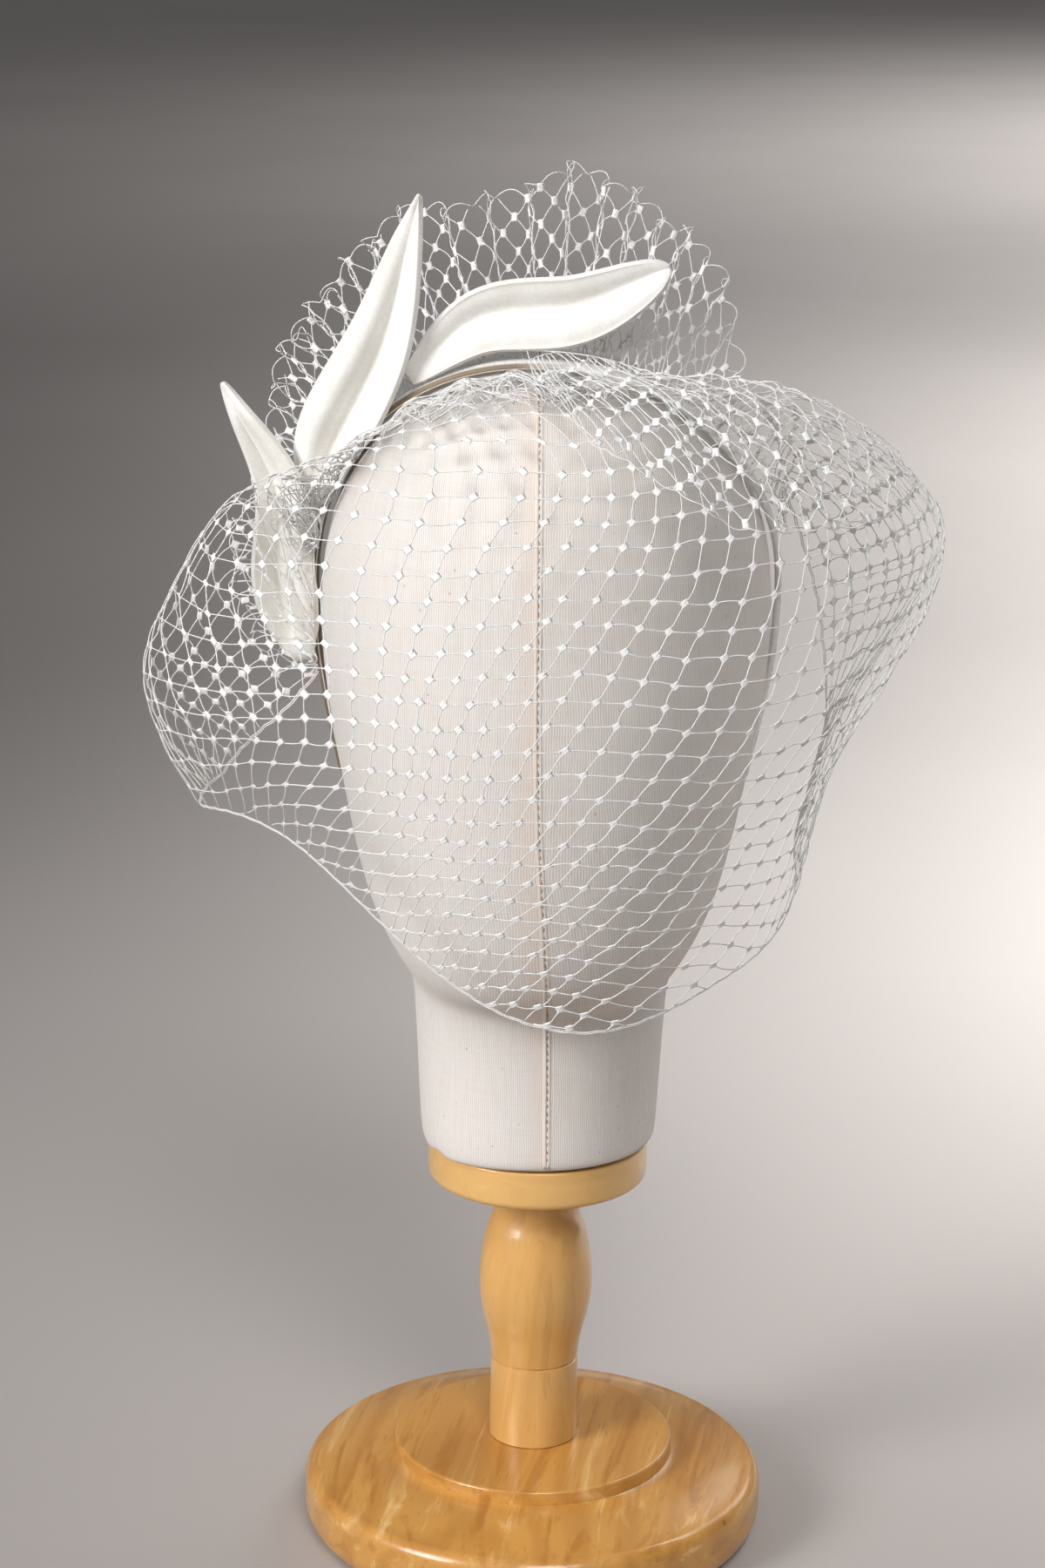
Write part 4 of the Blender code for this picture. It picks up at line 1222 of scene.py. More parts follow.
def leafPoints(leaf, along, across):
    point, outward, _ = bandFrame(np.array(leaf["foot"]))
    width = leaf["halfWidth"] * leafSwell(leaf, np.array(0.0))
    seat = point + outward * (bandLift + band["halfThickness"] + leafMake["footRaise"] + width)
    rib = np.array([(seat[0], seat[2]), leaf["belly"], leaf["shoulder"], leaf["tip"]])
    place = along * 3
    middle = through(rib, place)
    step = leafMake["ribStep"]
    way = normalised(through(rib, np.minimum(place + step, 3)) - through(rib, np.maximum(place - step, 0)))
    swell = leafSwell(leaf, along)
    shift = leaf["halfWidth"] * swell * across
    x = middle[..., 0] + way[..., 1] * shift
    z = middle[..., 1] - way[..., 0] * shift
    angle = np.degrees(np.arctan2(x, z - headForm["crownBase"]))
    innerShare = 0.5 + 0.5 * across
    ahead = leaf["aheadOuter"] + (leaf["aheadInner"] - leaf["aheadOuter"]) * innerShare
    y = tableAt(bandSet, "angle", angle, "y")
    y = y - ahead * smoothShare(swell, *leafMake["aheadFrom"])
    # one half swells into a soft ridge, a valley lies beside it, and the cut edges roll forward
    foldSwell = np.clip(swell, 0, 1) * smoothShare(along, *leafMake["foldFrom"])
    valley = np.exp(-((across - leaf["valleyAt"]) / leafMake["valleyWidth"]) ** 2)
    ridge = np.exp(-((across - leaf["ridgeAt"]) / leafMake["ridgeWidth"]) ** 2)
    roll = np.clip((np.abs(across) - leafMake["rollFrom"]) / (1 - leafMake["rollFrom"]), 0, 1) ** 2
    y = y + foldSwell * (leaf["valley"] * valley - leaf["ridge"] * ridge - leafMake["rim"] * roll)
    return clearOfHead(np.stack([x, y, z], axis=-1), leafMake["wall"] / 2 + leafMake["toHead"])


def buildLeaf(leaf):
    rows, columns = leafMake["alongSteps"] + 1, leafMake["acrossSteps"] + 1
    along = np.linspace(0, 1, rows)[:, None] * np.ones(columns)
    across = np.sin(np.linspace(-1, 1, columns) * math.pi / 2)[None, :] * np.ones(rows)[:, None]
    grid = np.arange(rows * columns).reshape(rows, columns)
    quads = np.stack([grid[:-1, :-1], grid[:-1, 1:], grid[1:, 1:], grid[1:, :-1]], axis=-1).reshape(-1, 4)
    points = leafPoints(leaf, along, across).reshape(-1, 3)
    piece = arrayMesh(leaf["name"], points, [quads])
    wall = piece.modifiers.new("wall", "SOLIDIFY")
    wall.thickness = leafMake["wall"]
    wall.offset = 0
    roundOff(piece, 1)
    applyAll(piece)
    turnFacesOut(piece)
    bpy.ops.object.shade_smooth()
    settle(piece, leaf["name"], felt)
    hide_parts(leaf["node"])


for leaf in leaves:
    buildLeaf(leaf)
print("leaves cut and shaped")


# Veil surfaces: the same sheets as the solids, as smooth functions of where a point lies on the cut strip

veilColumns = {"plan": (-128, -90, -45, 0, 45, 90, 138), "band": (-109, -90, -50, -5, 26, 52, 72)}
veilRings = [
    {"left": 0.1095, "front": 0.0720, "right": 0.0900, "heights": (0.3930, 0.4180, 0.4330, 0.4420, 0.4280)},
    {"left": 0.1315, "front": 0.1020, "right": 0.1290, "heights": (0.3650, 0.3880, 0.3980, 0.4080, 0.4080)},
    {"left": 0.1430, "front": 0.1160, "right": 0.1385, "heights": (0.3350, 0.3480, 0.3440, 0.3580, 0.3790)},
    {"left": 0.1365, "front": 0.1120, "right": 0.1065, "heights": (0.3070, 0.3190, 0.2840, 0.2980, 0.3200)},
    {"left": 0.1240, "front": 0.0930, "right": 0.0920, "heights": (0.2860, 0.2900, 0.2305, 0.2430, 0.2640)},
]
leftEnd = [(-0.0940, -0.0070, 0.3190), (-0.1040, -0.0010, 0.3090), (-0.1100, 0.0080, 0.3010),
           (-0.1150, 0.0130, 0.2940), (-0.1180, 0.0130, 0.2890)]
rightEnd = [(0.0860, 0.0230, 0.3950), (0.0950, 0.0420, 0.3720), (0.1030, 0.0500, 0.3420),
            (0.1050, 0.0410, 0.3070), (0.0965, 0.0290, 0.2720)]
startAhead = [{"angle": angle, "ahead": ahead} for angle, ahead in (
    (-110, 0.0090), (-70, 0.0096), (-40, 0.0096), (-10, 0.0070), (10, 0.0052), (75, 0.0052))]
veil = {
    "planPower": 2.1,
    "sideY": -0.0080,
    "backEven": 0.35,
    "turnPlan": (75.0, 125.0),
    "gathers": 23,
    "gatherDepth": 0.0013,
    "gatherFade": 0.16,
    "slopeStep": 0.004,
    # the band's half thickness, the seam's gap, half the net's wall and the gathers' depth
    "seamAbove": 0.0015 + 0.0003 + 0.0005 + 0.0013,
}


def bandSide(angle, turn, ahead, above):
    point, outward, forward = bandFrame(angle)
    return (point + outward * (bandLift + above * np.sin(turn))[..., None]
            + forward * (ahead * np.cos(turn))[..., None])


def startTurn(plan):
    return smoothShare(plan, *veil["turnPlan"]) * math.pi / 2


def ringPoint(ring, leftPoint, rightPoint, plan):
    rounded = np.radians(np.minimum(np.abs(plan), 90))
    sine = np.sin(rounded) ** (2 / veil["planPower"])
    cosine = np.cos(rounded) ** (2 / veil["planPower"])
    onLeft = plan < 0
    reach = np.where(onLeft, ring["left"], ring["right"])
    height = through(ring["heights"], np.clip((plan + 90) / 45, 0, 4))
    x = np.where(onLeft, -1, 1) * reach * sine
    y = veil["sideY"] - (ring["front"] + veil["sideY"]) * cosine
    front = np.stack([x, y, height], axis=-1)
    ends = np.where(onLeft[..., None], np.array(leftPoint), np.array(rightPoint))
    last = np.where(onLeft, abs(veilColumns["plan"][0]), veilColumns["plan"][-1])
    share = np.maximum(np.abs(plan) - 90, 0) / (last - 90)
    turn = share * math.pi / 2
    back = veil["backEven"] * share + (1 - veil["backEven"]) * np.sin(turn)
    sideHeight = np.where(onLeft, ring["heights"][0], ring["heights"][-1])
    signed = np.where(onLeft, -reach, reach)
    behind = np.stack([ends[..., 0] + (signed - ends[..., 0]) * np.cos(turn),
                       veil["sideY"] + (ends[..., 1] - veil["sideY"]) * back,
                       sideHeight + (ends[..., 2] - sideHeight) * share], axis=-1)
    return np.where((np.abs(plan) <= 90)[..., None], front, behind)


def columnPlace(column):
    place = column * (len(veilColumns["plan"]) - 1)
    return through(veilColumns["plan"], place), through(veilColumns["band"], place)


def faceBase(column, drop):
    plan, angle = columnPlace(column)
    ahead = tableAt(startAhead, "angle", angle, "ahead")
    stations = [bandSide(angle, startTurn(plan), ahead, np.full(plan.shape, veil["seamAbove"]))]
    for ring, leftPoint, rightPoint in zip(veilRings, leftEnd, rightEnd):
        stations.append(ringPoint(ring, leftPoint, rightPoint, plan))
    first, last = 2 * stations[0] - stations[1], 2 * stations[-1] - stations[-2]
    padded = np.stack([first, *stations, last])
    along = drop * (len(stations) - 1)
    index = np.clip(along.astype(int), 0, len(stations) - 2)
    share = (along - index)[..., None]
    pick = [np.take_along_axis(padded, (index + shift)[None, ..., None], axis=0)[0] for shift in range(4)]
    return smoothBetween(*pick, share)


def faceOutward(column, drop):
    step = veil["slopeStep"]
    across = faceBase(np.minimum(column + step, 1), drop) - faceBase(np.maximum(column - step, 0), drop)
    down = faceBase(column, np.minimum(drop + step, 1)) - faceBase(column, np.maximum(drop - step, 0))
    return normalised(np.cross(down, across))


def faceSheet(column, drop):
    outward = faceOutward(column, np.maximum(drop, 0))
    wave = np.sin(math.tau * veil["gathers"] * column) * np.exp(-np.maximum(drop, 0) / veil["gatherFade"])
    return faceBase(column, drop) + outward * (veil["gatherDepth"] * wave)[..., None]


frillReach = [{"angle": a, "reach": r, "lean": l, "depth": d} for a, r, l, d in (
    (-112, 0.1030, 0.026, 0.0050), (-92, 0.1140, 0.038, 0.0085), (-72, 0.1100, 0.040, 0.0095),
    (-60, 0.1140, 0.040, 0.0100), (-50, 0.1240, 0.040, 0.0105), (-36, 0.1310, 0.040, 0.0105),
    (-23, 0.1410, 0.042, 0.0105), (-8, 0.1385, 0.045, 0.0105), (4, 0.1480, 0.046, 0.0105),
    (16, 0.1380, 0.044, 0.0100), (26, 0.1300, 0.036, 0.0080), (34, 0.1140, 0.024, 0.0050),
    (40, 0.0990, 0.010, 0.0025))]
frill = {
    "waves": 15,
    "growth": 0.8,
    "drift": 0.24,
    "driftCycles": 2.3,
    "sway": 0.21,
    "overlap": 1.5,
    "dip": 0.19,
    "startLift": 0.0004,
    # the band's half width, the seam's gap and half the net's wall
    "edge": 0.0028 + 0.0003 + 0.0005,
}


def frillSheet(along, rise):
    first, last = frillReach[0]["angle"], frillReach[-1]["angle"]
    angle = first + (last - first) * along
    reach, lean, depth = [tableAt(frillReach, "angle", angle, key) for key in ("reach", "lean", "depth")]
    point, outward, forward = bandFrame(angle)
    foot = point + outward * (bandLift + frill["startLift"]) - forward * frill["edge"]
    turn = np.radians(angle)
    top = np.stack([reach * np.sin(turn), foot[..., 1] + lean,
                    headForm["crownBase"] + reach * np.cos(turn)], axis=-1)
    body = foot + (top - foot) * rise[..., None]
    body[..., 1] = foot[..., 1] + lean * np.sin(rise * math.pi / 2)
    drift = frill["drift"] * np.sin(math.tau * frill["driftCycles"] * along)
    phase = math.tau * (frill["waves"] * along + drift)
    grown = np.maximum(rise, 0) ** frill["growth"]
    body[..., 1] += depth * grown * np.sin(phase)
    sway = frill["sway"] * depth * grown * (np.cos(2 * phase) - frill["overlap"] * np.sin(2 * phase))
    dip = frill["dip"] * depth * rise * np.cos(phase)
    sideways = np.stack([np.cos(turn), np.zeros(turn.shape), -np.sin(turn)], axis=-1)
    upward = np.stack([np.sin(turn), np.zeros(turn.shape), np.cos(turn)], axis=-1)
    return body + sideways * sway[..., None] + upward * dip[..., None]


topEdge = [{"column": c, "drop": d} for c, d in (
    (0.500, 0.080), (0.525, 0.240), (0.565, 0.330), (0.600, 0.400),
    (0.640, 0.420), (0.700, 0.430), (0.760, 0.400), (0.785, 0.350))]
topLayer = {
    "lift": 0.0046,
    "startTurn": 80.0,
    "startAhead": 0.0062,
    "startAbove": 0.0060,
    "startFade": 0.08,
    "waves": 8,
    "waveDepth": 0.0014,
    "waveStart": 0.4,
    "slopeFrom": 0.02,
}


def topSheet(along, share):
    first, last = topEdge[0]["column"], topEdge[-1]["column"]
    column = first + (last - first) * along
    drop = tableAt(topEdge, "column", column, "drop") * share
    wave = np.sin(math.tau * topLayer["waves"] * along)
    grown = topLayer["waveStart"] + (1 - topLayer["waveStart"]) * share
    lift = topLayer["lift"] + topLayer["waveDepth"] * wave * grown
    base = faceBase(column, drop)
    plan, angle = columnPlace(column)
    start = bandSide(angle, startTurn(plan) + math.radians(topLayer["startTurn"]),
                     np.full(plan.shape, topLayer["startAhead"]), np.full(plan.shape, topLayer["startAbove"]))
    seamShift = start - faceBase(column, np.zeros(column.shape))
    away = faceOutward(column, np.maximum(drop, topLayer["slopeFrom"])) * lift[..., None]
    blend = smoothShare(drop, 0, topLayer["startFade"])[..., None]
    return base + seamShift + (away - seamShift) * blend


# Net: threads and knots laid on a sheet by how far along and down the cut strip they lie

# the face net's mesh: how many rows and slants lie before each place; a line for each even step along the
# strip, going down it in even steps
faceCounts = {
    "rows": (
        (1.7, 3.0, 4.3, 5.7, 6.9, 7.8, 8.4, 8.8),
        (-0.7, 1.5, 3.2, 5.4, 7.3, 8.7, 10.0, 11.1),
        (-3.6, -0.1, 2.2, 5.1, 7.5, 9.6, 11.1, 12.6),
        (-5.0, -2.1, 0.7, 3.9, 7.0, 9.2, 11.1, 13.3),
        (-5.3, -2.7, -0.1, 3.2, 7.5, 11.0, 14.8, 18.5),
        (-5.4, -2.9, -0.8, 2.9, 7.9, 12.9, 18.9, 24.0),
        (-5.7, -3.5, -1.1, 2.4, 6.7, 11.6, 17.1, 21.9),
        (-5.6, -3.4, -1.0, 2.2, 5.9, 10.4, 14.9, 19.4),
        (-5.0, -2.7, -0.4, 2.7, 5.4, 9.5, 13.8, 17.9),
        (-4.5, -2.0, 0.2, 3.1, 5.5, 9.0, 12.9, 16.5),
        (-4.1, -1.5, 0.6, 3.2, 5.9, 8.9, 12.1, 15.3),
    ),
    "slants": (
        (-31.5, -31.5, -31.5, -31.5, -31.5, -31.6, -31.6, -31.6),
        (-26.1, -25.9, -25.8, -25.8, -26.1, -26.3, -26.3, -26.3),
        (-22.1, -21.3, -20.5, -20.3, -21.9, -22.2, -22.0, -21.9),
        (-18.3, -18.2, -17.7, -17.3, -18.4, -19.1, -18.6, -17.5),
        (-12.8, -13.2, -13.4, -12.9, -13.4, -13.0, -10.5, -8.3),
        (-7.0, -7.6, -9.1, -8.0, -5.5, -3.3, 0.5, 3.7),
        (-1.6, -2.0, -2.3, -1.7, 0.0, 1.6, 4.1, 6.8),
        (4.3, 4.3, 4.3, 4.5, 5.1, 6.2, 7.3, 8.7),
        (10.5, 10.5, 10.6, 10.8, 11.0, 11.5, 12.1, 12.6),
        (16.6, 16.6, 16.7, 16.8, 16.9, 17.2, 17.4, 17.6),
        (22.6, 22.6, 22.6, 22.7, 22.8, 22.9, 23.1, 23.2),
    ),
}
net = {
    "rowStep": 0.0094,
    "slantLength": 0.0100,
    "diamondWidth": 0.0118,
    "diamondRise": 0.0139,
    "edgeKnots": 0.0004,
    "threadRadius": 0.00024,
    "threadFlatness": 0.86,
    "threadTurns": 1.5,
    "sides": 6,
    "points": 6,
    "bow": 0.00042,
    "jitter": 0.030,
    "liftShare": 0.6,
    "margin": 0.03,
    "cutSteps": 41,
    "nearPlace": 0.4,
    "shortest": 0.06,
    "slopeStep": 0.004,
    "cover": 0.301,
    "meshArea": 0.0094 * 0.0094,
}
knot = {
    "reach": 0.00208,
    "deep": 0.00032,
    "valley": 0.62,
    "proud": 1.15,
    "swell": 0.30,
    "ends": 0.9,
    "wraps": 4,
    "mapLength": 2.4,
    "fromEnd": 0.002,
    "aim": 0.3,
    "slimmest": 0.95,
}
hem = {
    "radius": 0.00026,
    "gap": 0.00065,
    "pointsPerTurn": 9,
    "scallop": 0.0004,
    "endScallop": 0.0005,
    "hemPoints": 220,
    "leftPoints": 120,
    "rightPoints": 160,
    "sidePoints": 60,
}
# the mesh is never quite even: size, then waves along and up the strip, with their phases
waver = {
    "row": (0.11, ((61, 33, 0.0), (23, -71, 1.3))),
    "slant": (0.10, ((47, -39, 0.7), (19, 83, 2.1))),
}
# where the net is drawn up and sewn to the band over the crown
gathered = {
    "count": 260,
    "columns": (0.22, 0.58),
    "reach": (0.03, 0.15),
    "across": 0.028,
    "bow": 0.45,
    "lift": 0.0016,
    "lifts": (0.1, 1.0),
    "rows": 2.5,
    "rowsTop": -0.02,
    "rowsDrop": 0.06,
    "rowsFrom": (0.26, 0.36),
    "rowsTo": (0.50, 0.60),
    "crumple": 9.0,
    "crumpleDrop": 0.075,
    "noKnotColumns": (0.27, 0.52),
    "noKnotDrop": 0.11,
}


def uneven(along, height, size, waves):
    return size * sum(np.sin(along * first + height * second + phase) for first, second, phase in waves)


def stripMap(sheet, fineness, evenAt, mesh):
    # for a fine grid of the sheet: metres along the strip (even at one height) and metres down it,
    # and from these the two counts of the mesh, which reach a whole number at each knot
    margin = net["margin"]
    columns, drops = fineness
    column = np.linspace(-margin, 1 + margin, columns)
    drop = np.linspace(-margin, 1 + margin, drops)
    columnGrid, dropGrid = np.meshgrid(column, drop, indexing="ij")
    points = sheet(np.clip(columnGrid, 0, 1), np.clip(dropGrid, 0, 1))
    evenRow = sheet(np.clip(column, 0, 1), np.full(columns, evenAt))
    stepAcross = np.linalg.norm(np.diff(evenRow, axis=0), axis=1)
    stepAcross[stepAcross < 1e-7] = np.median(stepAcross)
    along = np.concatenate([[0], np.cumsum(stepAcross)])
    along -= np.interp(0, column, along)
    stepDown = np.linalg.norm(np.diff(points, axis=1), axis=2)
    stepDown[stepDown < 1e-7] = np.median(stepDown)
    down = np.concatenate([np.zeros((columns, 1)), np.cumsum(stepDown, axis=1)], axis=1)
    down -= np.array([np.interp(0, drop, row) for row in down])[:, None]
    along = np.broadcast_to(along[:, None], down.shape)
    # height above the cloth's free edge
    height = np.array([np.interp(1, drop, row) for row in down])[:, None] - down
    row, slant = mesh({"column": columnGrid, "drop": dropGrid, "along": along, "height": height})
    return {"column": column, "drop": drop, "along": along,
            "row": row + uneven(along, height, *waver["row"]),
            "slant": slant + uneven(along, height, *waver["slant"]),
            "width": float(along.max()), "length": float(down.max())}


def faceMesh(grid):
    counts = []
    for table in (np.array(faceCounts["rows"]), np.array(faceCounts["slants"])):
        lines = through(table, grid["column"][:, 0] * (len(table) - 1))
        counts.append(through(lines.T, grid["drop"][0] * (table.shape[1] - 1)).T)
    # the crown's net is pushed together where it is sewn to the band
    starting = smoothShare(grid["column"], *gathered["rowsFrom"])
    ending = smoothShare(grid["column"], *gathered["rowsTo"])
    nearBand = np.exp(-np.maximum(grid["drop"], gathered["rowsTop"]) / gathered["rowsDrop"])
    counts[0] = counts[0] - gathered["rows"] * starting * (1 - ending) * nearBand
    return counts


def diamondMesh(grid):
    # both thread families cross the edge on the slant, and meet on it in knots
    across = grid["along"] / net["diamondWidth"]
    up = (grid["height"] - net["edgeKnots"]) / net["diamondRise"]
    return across + up, up - across


def meshSlopes(strip):
    # how fast the two counts grow with column and drop, and the meshes in one unit of both
    rowC, rowD = np.gradient(strip["row"], strip["column"], strip["drop"])
    slantC, slantD = np.gradient(strip["slant"], strip["column"], strip["drop"])
    return rowC, rowD, slantC, slantD, rowC * slantD - rowD * slantC


def findPlaces(strip, row, slant):
    # column and drop of points given by their two counts
    tree = KDTree(strip["row"].size)
    for index, (first, second) in enumerate(zip(strip["row"].ravel(), strip["slant"].ravel())):
        tree.insert((first, second, 0), index)
    tree.balance()
    rowC, rowD, slantC, slantD, sizes = meshSlopes(strip)
    column = np.full(len(row), np.nan)
    drop = np.full(len(row), np.nan)
    width = len(strip["drop"])
    for number, (a, b) in enumerate(zip(row, slant)):
        _, index, distance = tree.find((a, b, 0))
        if distance > net["nearPlace"]:
            continue
        i, j = divmod(index, width)
        errA, errB = a - strip["row"][i, j], b - strip["slant"][i, j]
        size = sizes[i, j]
        if abs(size) < 1e-6:
            continue
        column[number] = strip["column"][i] + (errA * slantD[i, j] - errB * rowD[i, j]) / size
        drop[number] = strip["drop"][j] + (errB * rowC[i, j] - errA * slantC[i, j]) / size
    return column, drop


def sheetNormals(sheet, column, drop):
    step = net["slopeStep"]
    across = sheet(np.clip(column + step, 0, 1), drop) - sheet(np.clip(column - step, 0, 1), drop)
    down = sheet(column, np.clip(drop + step, 0, 1)) - sheet(column, np.clip(drop - step, 0, 1))
    return normalised(np.cross(down, across))


def knotPlaces(strip, seed, crumpled):
    # where each knot of the mesh lies, as column and drop; not a number where the sheet has no such place
    rng = np.random.default_rng(seed)
    rows = np.arange(math.floor(strip["row"].min()), math.ceil(strip["row"].max()) + 1)
    slants = np.arange(math.floor(strip["slant"].min()), math.ceil(strip["slant"].max()) + 1)
    rowGrid, slantGrid = np.meshgrid(rows, slants, indexing="ij")
    column, drop = findPlaces(strip, rowGrid.ravel(), slantGrid.ravel())
    column, drop = column.reshape(rowGrid.shape), drop.reshape(rowGrid.shape)
    # knots sit a little off their places, far more so where the net is crumpled by the band
    loose = net["jitter"]
    if crumpled:
        nearBand = np.exp(-(np.nan_to_num(drop, nan=1.0) / gathered["crumpleDrop"]) ** 2)
        loose = loose * (1 + gathered["crumple"] * nearBand)
    column = column + rng.normal(0, 1, column.shape) * loose * net["rowStep"] / strip["width"]
    drop = drop + rng.normal(0, 1, drop.shape) * loose * net["slantLength"] / strip["length"]
    return column, drop, rng


def alongSegments(segments, share):
    startC, startD, endC, endD = [segments[:, index:index + 1] for index in range(4)]
    return startC + (endC - startC) * share, startD + (endD - startD) * share


def threadSegments(column, drop):
    # threads between neighbouring knots: column and drop of both ends, and the share that lies on the cloth
    inside = (column >= 0) & (column <= 1) & (drop >= 0) & (drop <= 1)
    segments = []
    for down, side in ((1, 0), (0, 1)):
        first = (slice(0, column.shape[0] - down), slice(0, column.shape[1] - side))
        second = (slice(down, None), slice(side, None))
        keep = (inside[first] | inside[second]) & np.isfinite(column[first]) & np.isfinite(column[second])
        ends = [values[pick][keep] for pick in (first, second) for values in (column, drop)]
        segments.append(np.stack(ends, axis=1))
    segments = np.concatenate(segments)
    # cut the threads that run past the cloth's edge
    share = np.linspace(0, 1, net["cutSteps"])
    alongC, alongD = alongSegments(segments, share)
    within = (alongC >= 0) & (alongC <= 1) & (alongD >= 0) & (alongD <= 1)
    firstIn = share[np.argmax(within, axis=1)]
    lastIn = share[len(share) - 1 - np.argmax(within[:, ::-1], axis=1)]
    keep = lastIn - firstIn > net["shortest"]
    return segments[keep], firstIn[keep], lastIn[keep]


def buildNet(sheet, strip, seed, crumpled=False):
    column, drop, rng = knotPlaces(strip, seed, crumpled)
    segments, firstIn, lastIn = threadSegments(column, drop)
    steps = firstIn[:, None] + (lastIn - firstIn)[:, None] * np.linspace(0, 1, net["points"])
    pointC, pointD = alongSegments(segments, steps)
    lines = sheet(pointC, pointD)
    ups = sheetNormals(sheet, pointC, pointD)
    # each length of thread bows a little between its knots
    sideways = normalised(np.cross(normalised(lines[:, -1:] - lines[:, :1]), ups))
    bend = rng.normal(0, net["bow"], (len(lines), 1, 1))
    lift = rng.normal(0, net["bow"] * net["liftShare"], (len(lines), 1, 1))
    hump = (4 * steps * (1 - steps))[..., None]
    lines = lines + sideways * bend * hump + ups * lift * hump
    # a knot's place and the next knots along its two threads, to turn it by
    nextRow = (np.roll(column, -1, axis=0), np.roll(drop, -1, axis=0))
    nextSlant = (np.roll(column, -1, axis=1), np.roll(drop, -1, axis=1))
    inner = (drop >= 0) & (drop <= 1) & (column > knot["fromEnd"]) & (column < 1 - knot["fromEnd"])
    if crumpled:
        # the knots are lost among the gathers over the crown
        low, high = gathered["noKnotColumns"]
        inner &= ~((column > low) & (column < high) & (drop < gathered["noKnotDrop"]))
    for place in (*nextRow, *nextSlant):
        inner &= np.isfinite(place)
    inner[-1] = False
    inner[:, -1] = False
    knots = [np.stack([place[0][inner], place[1][inner]], axis=1)
             for place in ((column, drop), nextRow, nextSlant)]
    return {"lines": lines, "ups": ups, "lineColumn": pointC.mean(axis=1), "knots": knots}


def gatheredLines(seed):
    # crumpled threads that cross one another along the band
    rng = np.random.default_rng(seed)
    count = gathered["count"]
    start = rng.uniform(*gathered["columns"], count)[:, None]
    reach = rng.uniform(*gathered["reach"], count)[:, None]
    share = np.linspace(0, 1, net["points"])[None, :]
    hump = 4 * share * (1 - share)
    column = start + rng.normal(0, gathered["across"], (count, 1)) * share
    column = column + rng.normal(0, gathered["across"] * gathered["bow"], (count, 1)) * hump
    drop = reach * share
    ups = sheetNormals(faceSheet, column, drop)
    lift = rng.uniform(*gathered["lifts"], (count, 1)) * gathered["lift"]
    lines = faceSheet(column, drop) + ups * (lift * hump)[..., None]
    return {"lines": lines, "ups": ups, "lineColumn": column.mean(axis=1)}


def knotShape():
    # wraps of thread side by side: rings that swell and draw in along the knot
    valley, end = knot["valley"], knot["valley"] * knot["ends"]
    sizes = [end] + [1.0, valley] * (knot["wraps"] - 1) + [1.0, end]
    places = np.linspace(-1, 1, len(sizes))
    sides = net["sides"]
    turn = math.tau * (np.arange(sides) + 0.5) / sides
    rings = []
    for place, size in zip(places, sizes):
        width = 1 - knot["swell"] + knot["swell"] * size
        rings.append(np.stack([np.full(sides, place), width * np.sin(turn),
                               size * knot["deep"] * np.cos(turn) * knot["proud"]], axis=1))
    return np.array(rings)


def placeKnots(sheet, knots):
    # each knot is a small lozenge whose corners point along its four threads
    at, nextRow, nextSlant = knots
    points = sheet(at[:, 0], at[:, 1])
    up = sheetNormals(sheet, at[:, 0], at[:, 1])
    ways = []
    for other in (nextRow, nextSlant):
        near = at + (other - at) * knot["aim"]
        way = sheet(near[:, 0], near[:, 1]) - points
        ways.append(normalised(way - up * np.sum(way * up, axis=-1, keepdims=True)))
    cosine = np.clip(np.sum(ways[0] * ways[1], axis=-1), -knot["slimmest"], knot["slimmest"])
    first = normalised(ways[0] + ways[1])
    second = np.cross(up, first)
    half = np.arccos(cosine) / 2
    shape = knotShape()
    flat = shape.reshape(-1, 3)
    longSide = (knot["reach"] * np.cos(half))[:, None, None]
    shortSide = (knot["reach"] * np.sin(half))[:, None, None]
    placed = (points[:, None, :] + first[:, None, :] * flat[None, :, 0:1] * longSide
              + second[:, None, :] * flat[None, :, 1:2] * shortSide + up[:, None, :] * flat[None, :, 2:3])
    count, rings, sides = len(points), shape.shape[0], shape.shape[1]
    uv = np.zeros((count, rings, sides, 2))
    uv[..., 0] = np.linspace(0, knot["mapLength"], rings)[None, :, None]
    uv[..., 1] = np.arange(sides) / sides
    faces = tubeFaces(count, rings, sides)
    return {"points": placed.reshape(-1, 3), "faces": faces, "uvs": uv.reshape(-1, 2)}


def edgeThread(sheet, start, end, count, radius, scallop=0.0, scallopStep=1.0, shift=0.0):
    # a thread along the cloth's edge, between two places given as column and drop
    share = np.linspace(0, 1, count)[:, None]
    path = np.array(start) + (np.array(end) - np.array(start)) * share
    line = sheet(path[:, 0], path[:, 1])
    ups = sheetNormals(sheet, path[:, 0], path[:, 1])
    outward = np.cross(normalised(np.gradient(line, axis=0)), ups)
    loops = np.abs(np.sin(math.pi * lengthAlong(line) / scallopStep)) * scallop
    line = line + outward * (loops + shift)[:, None]
    turns = len(line) / hem["pointsPerTurn"]
    return threadTubes(line[None], ups[None], radius, net["sides"], turns, net["threadFlatness"])


def joinMeshes(name, blocks, material):
    points, uvs, faces, start = [], [], {}, 0
    for block in blocks:
        points.append(block["points"])
        uvs.append(block["uvs"])
        for part in block["faces"]:
            faces.setdefault(part.shape[1], []).append(part + start)
        start += len(block["points"])
    joined = [np.concatenate(part) for part in faces.values()]
    piece = arrayMesh(name, np.concatenate(points), joined, "ply", np.concatenate(uvs))
    return settle(piece, name, material)


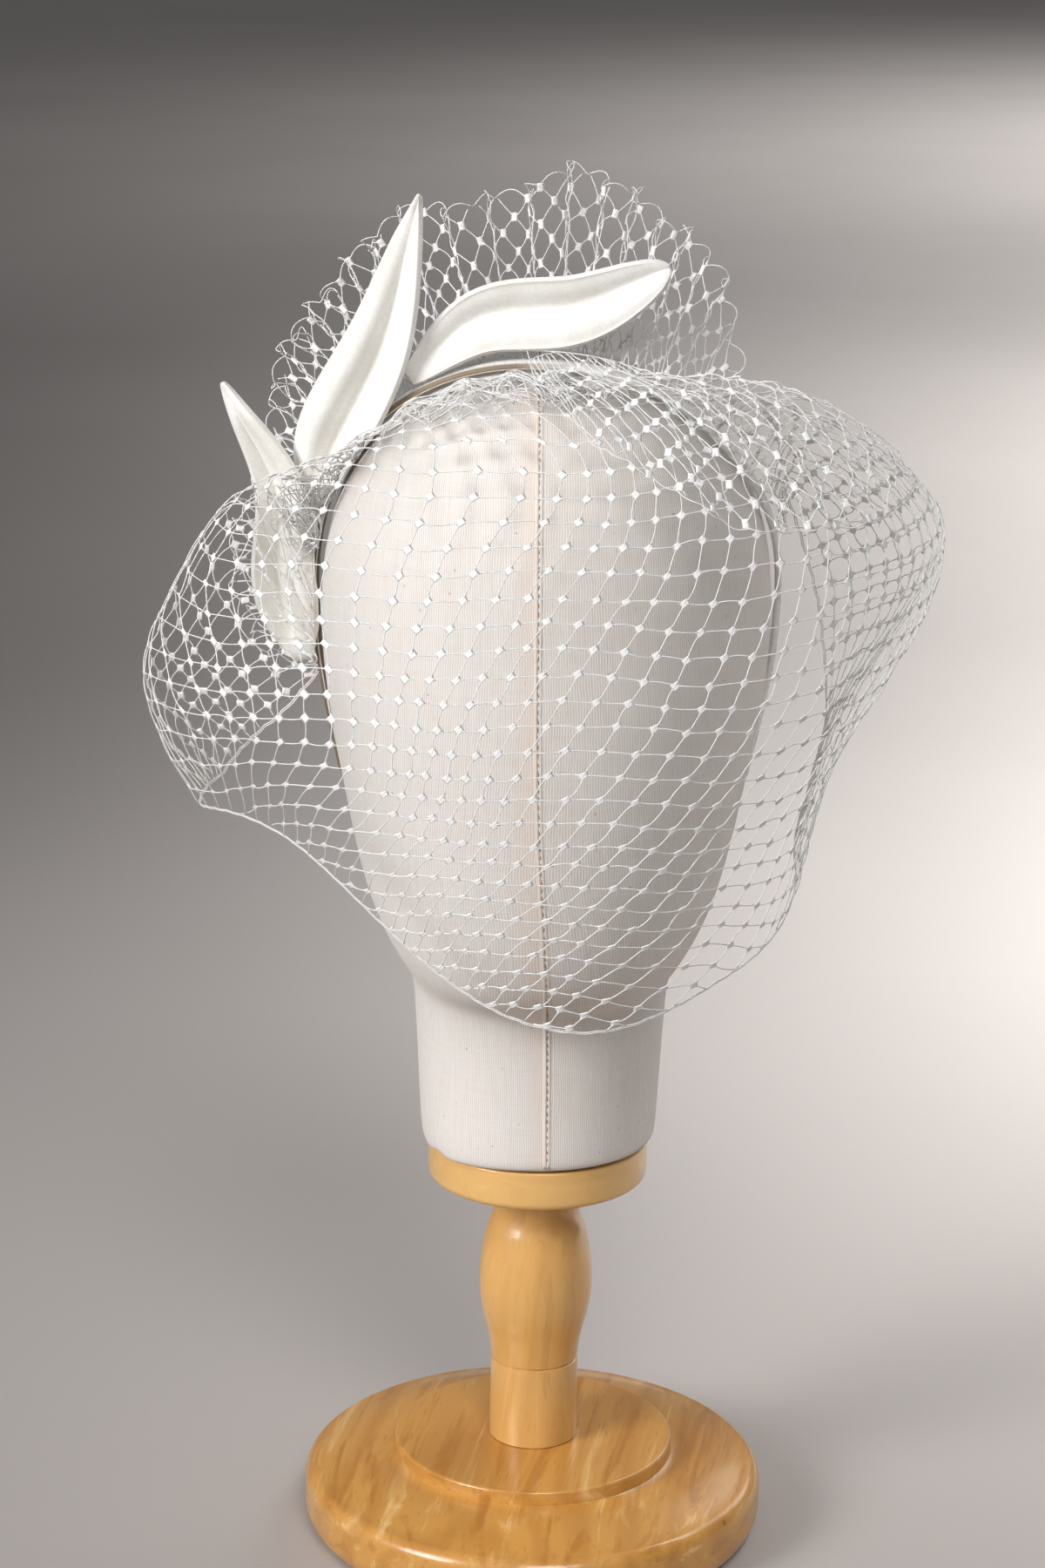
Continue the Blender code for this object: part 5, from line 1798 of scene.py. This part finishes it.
def netPiece(name, made, sheet, low, high, edges):
    pick = (made["lineColumn"] >= low) & (made["lineColumn"] < high)
    threads = threadTubes(made["lines"][pick], made["ups"][pick], net["threadRadius"], net["sides"],
                          net["threadTurns"], net["threadFlatness"])
    pick = (made["knots"][0][:, 0] >= low) & (made["knots"][0][:, 0] < high)
    knots = placeKnots(sheet, [place[pick] for place in made["knots"]])
    return joinMeshes(name, [threads, knots, *edges], thread)


def declareNet(strip, low, high):
    # counts the meshes that lie within the strip's cut; the count is not used
    inColumns = (strip["column"] >= low) & (strip["column"] <= high)
    inside = inColumns[:, None] & ((strip["drop"] >= 0) & (strip["drop"] <= 1))[None, :]
    cell = (strip["column"][1] - strip["column"][0]) * (strip["drop"][1] - strip["drop"][0])
    meshes = float(np.abs(meshSlopes(strip)[-1])[inside].sum() * cell)


def faceEdges(low, high):
    sheet, radius = faceSheet, hem["radius"]
    edges = [edgeThread(sheet, (low, 1.0), (high, 1.0), hem["hemPoints"], radius, hem["scallop"],
                        net["rowStep"], shift) for shift in (0.0, hem["gap"])]
    edges.append(edgeThread(sheet, (low, 0.0), (high, 0.0), hem["hemPoints"], radius))
    if low == 0:
        edges += [edgeThread(sheet, (0.0, 0.0), (0.0, 1.0), hem["leftPoints"], radius, hem["endScallop"],
                             net["slantLength"], shift) for shift in (0.0, hem["gap"])]
    if high == 1:
        edges += [edgeThread(sheet, (1.0, 0.0), (1.0, 1.0), hem["rightPoints"], radius, -hem["endScallop"],
                             net["slantLength"], shift) for shift in (0.0, -hem["gap"])]
    return edges


def buildFaceVeil():
    strip = stripMap(faceSheet, (460, 260), 0.60, faceMesh)
    made = buildNet(faceSheet, strip, 3, crumpled=True)
    for key, more in gatheredLines(11).items():
        made[key] = np.concatenate([made[key], more])
    cuts = (("netFaceLeft", 0, 1 / 3), ("netFaceMiddle", 1 / 3, 2 / 3), ("netFaceRight", 2 / 3, 1))
    for name, low, high in cuts:
        # the last piece also takes what lies on the very end
        top = high if high < 1 else 1.001
        piece = netPiece(name, made, faceSheet, low, top, faceEdges(low, high))
        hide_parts("veil_face")
        declareNet(strip, low, high)


# the map's fineness, the height its steps are even at, the random draw, and the loops of the free edge
frillNet = {"name": "netFrill", "fineness": (1100, 70), "evenAt": 1.0, "seed": 5, "edgePoints": 1100,
            "loop": 0.0030, "loopStep": net["diamondWidth"], "footPoints": 300}
topLayerNet = {"name": "netTopLayer", "fineness": (300, 120), "evenAt": 0.9, "seed": 7, "edgePoints": 260,
               "loop": 0.0009, "loopStep": net["rowStep"], "footPoints": 200}


def looseStrip(sheet, cloth):
    radius, points = net["threadRadius"], hem["sidePoints"]
    strip = stripMap(sheet, cloth["fineness"], cloth["evenAt"], diamondMesh)
    threads = buildNet(sheet, strip, cloth["seed"])
    edges = [edgeThread(sheet, (0.0, 1.0), (1.0, 1.0), cloth["edgePoints"], radius, cloth["loop"],
                        cloth["loopStep"]),
             edgeThread(sheet, (0.0, 0.0), (1.0, 0.0), cloth["footPoints"], hem["radius"]),
             edgeThread(sheet, (0.0, 0.0), (0.0, 1.0), points, radius),
             edgeThread(sheet, (1.0, 0.0), (1.0, 1.0), points, radius)]
    return netPiece(cloth["name"], threads, sheet, -1, 2, edges), strip


def buildFrill():
    piece, strip = looseStrip(frillSheet, frillNet)
    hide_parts("veil_frill")
    declareNet(strip, 0, 1)


def buildTopLayer():
    piece, strip = looseStrip(topSheet, topLayerNet)
    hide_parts("veil_top_layer")
    declareNet(strip, 0, 1)


buildFaceVeil()
buildFrill()
buildTopLayer()
print("net hung")
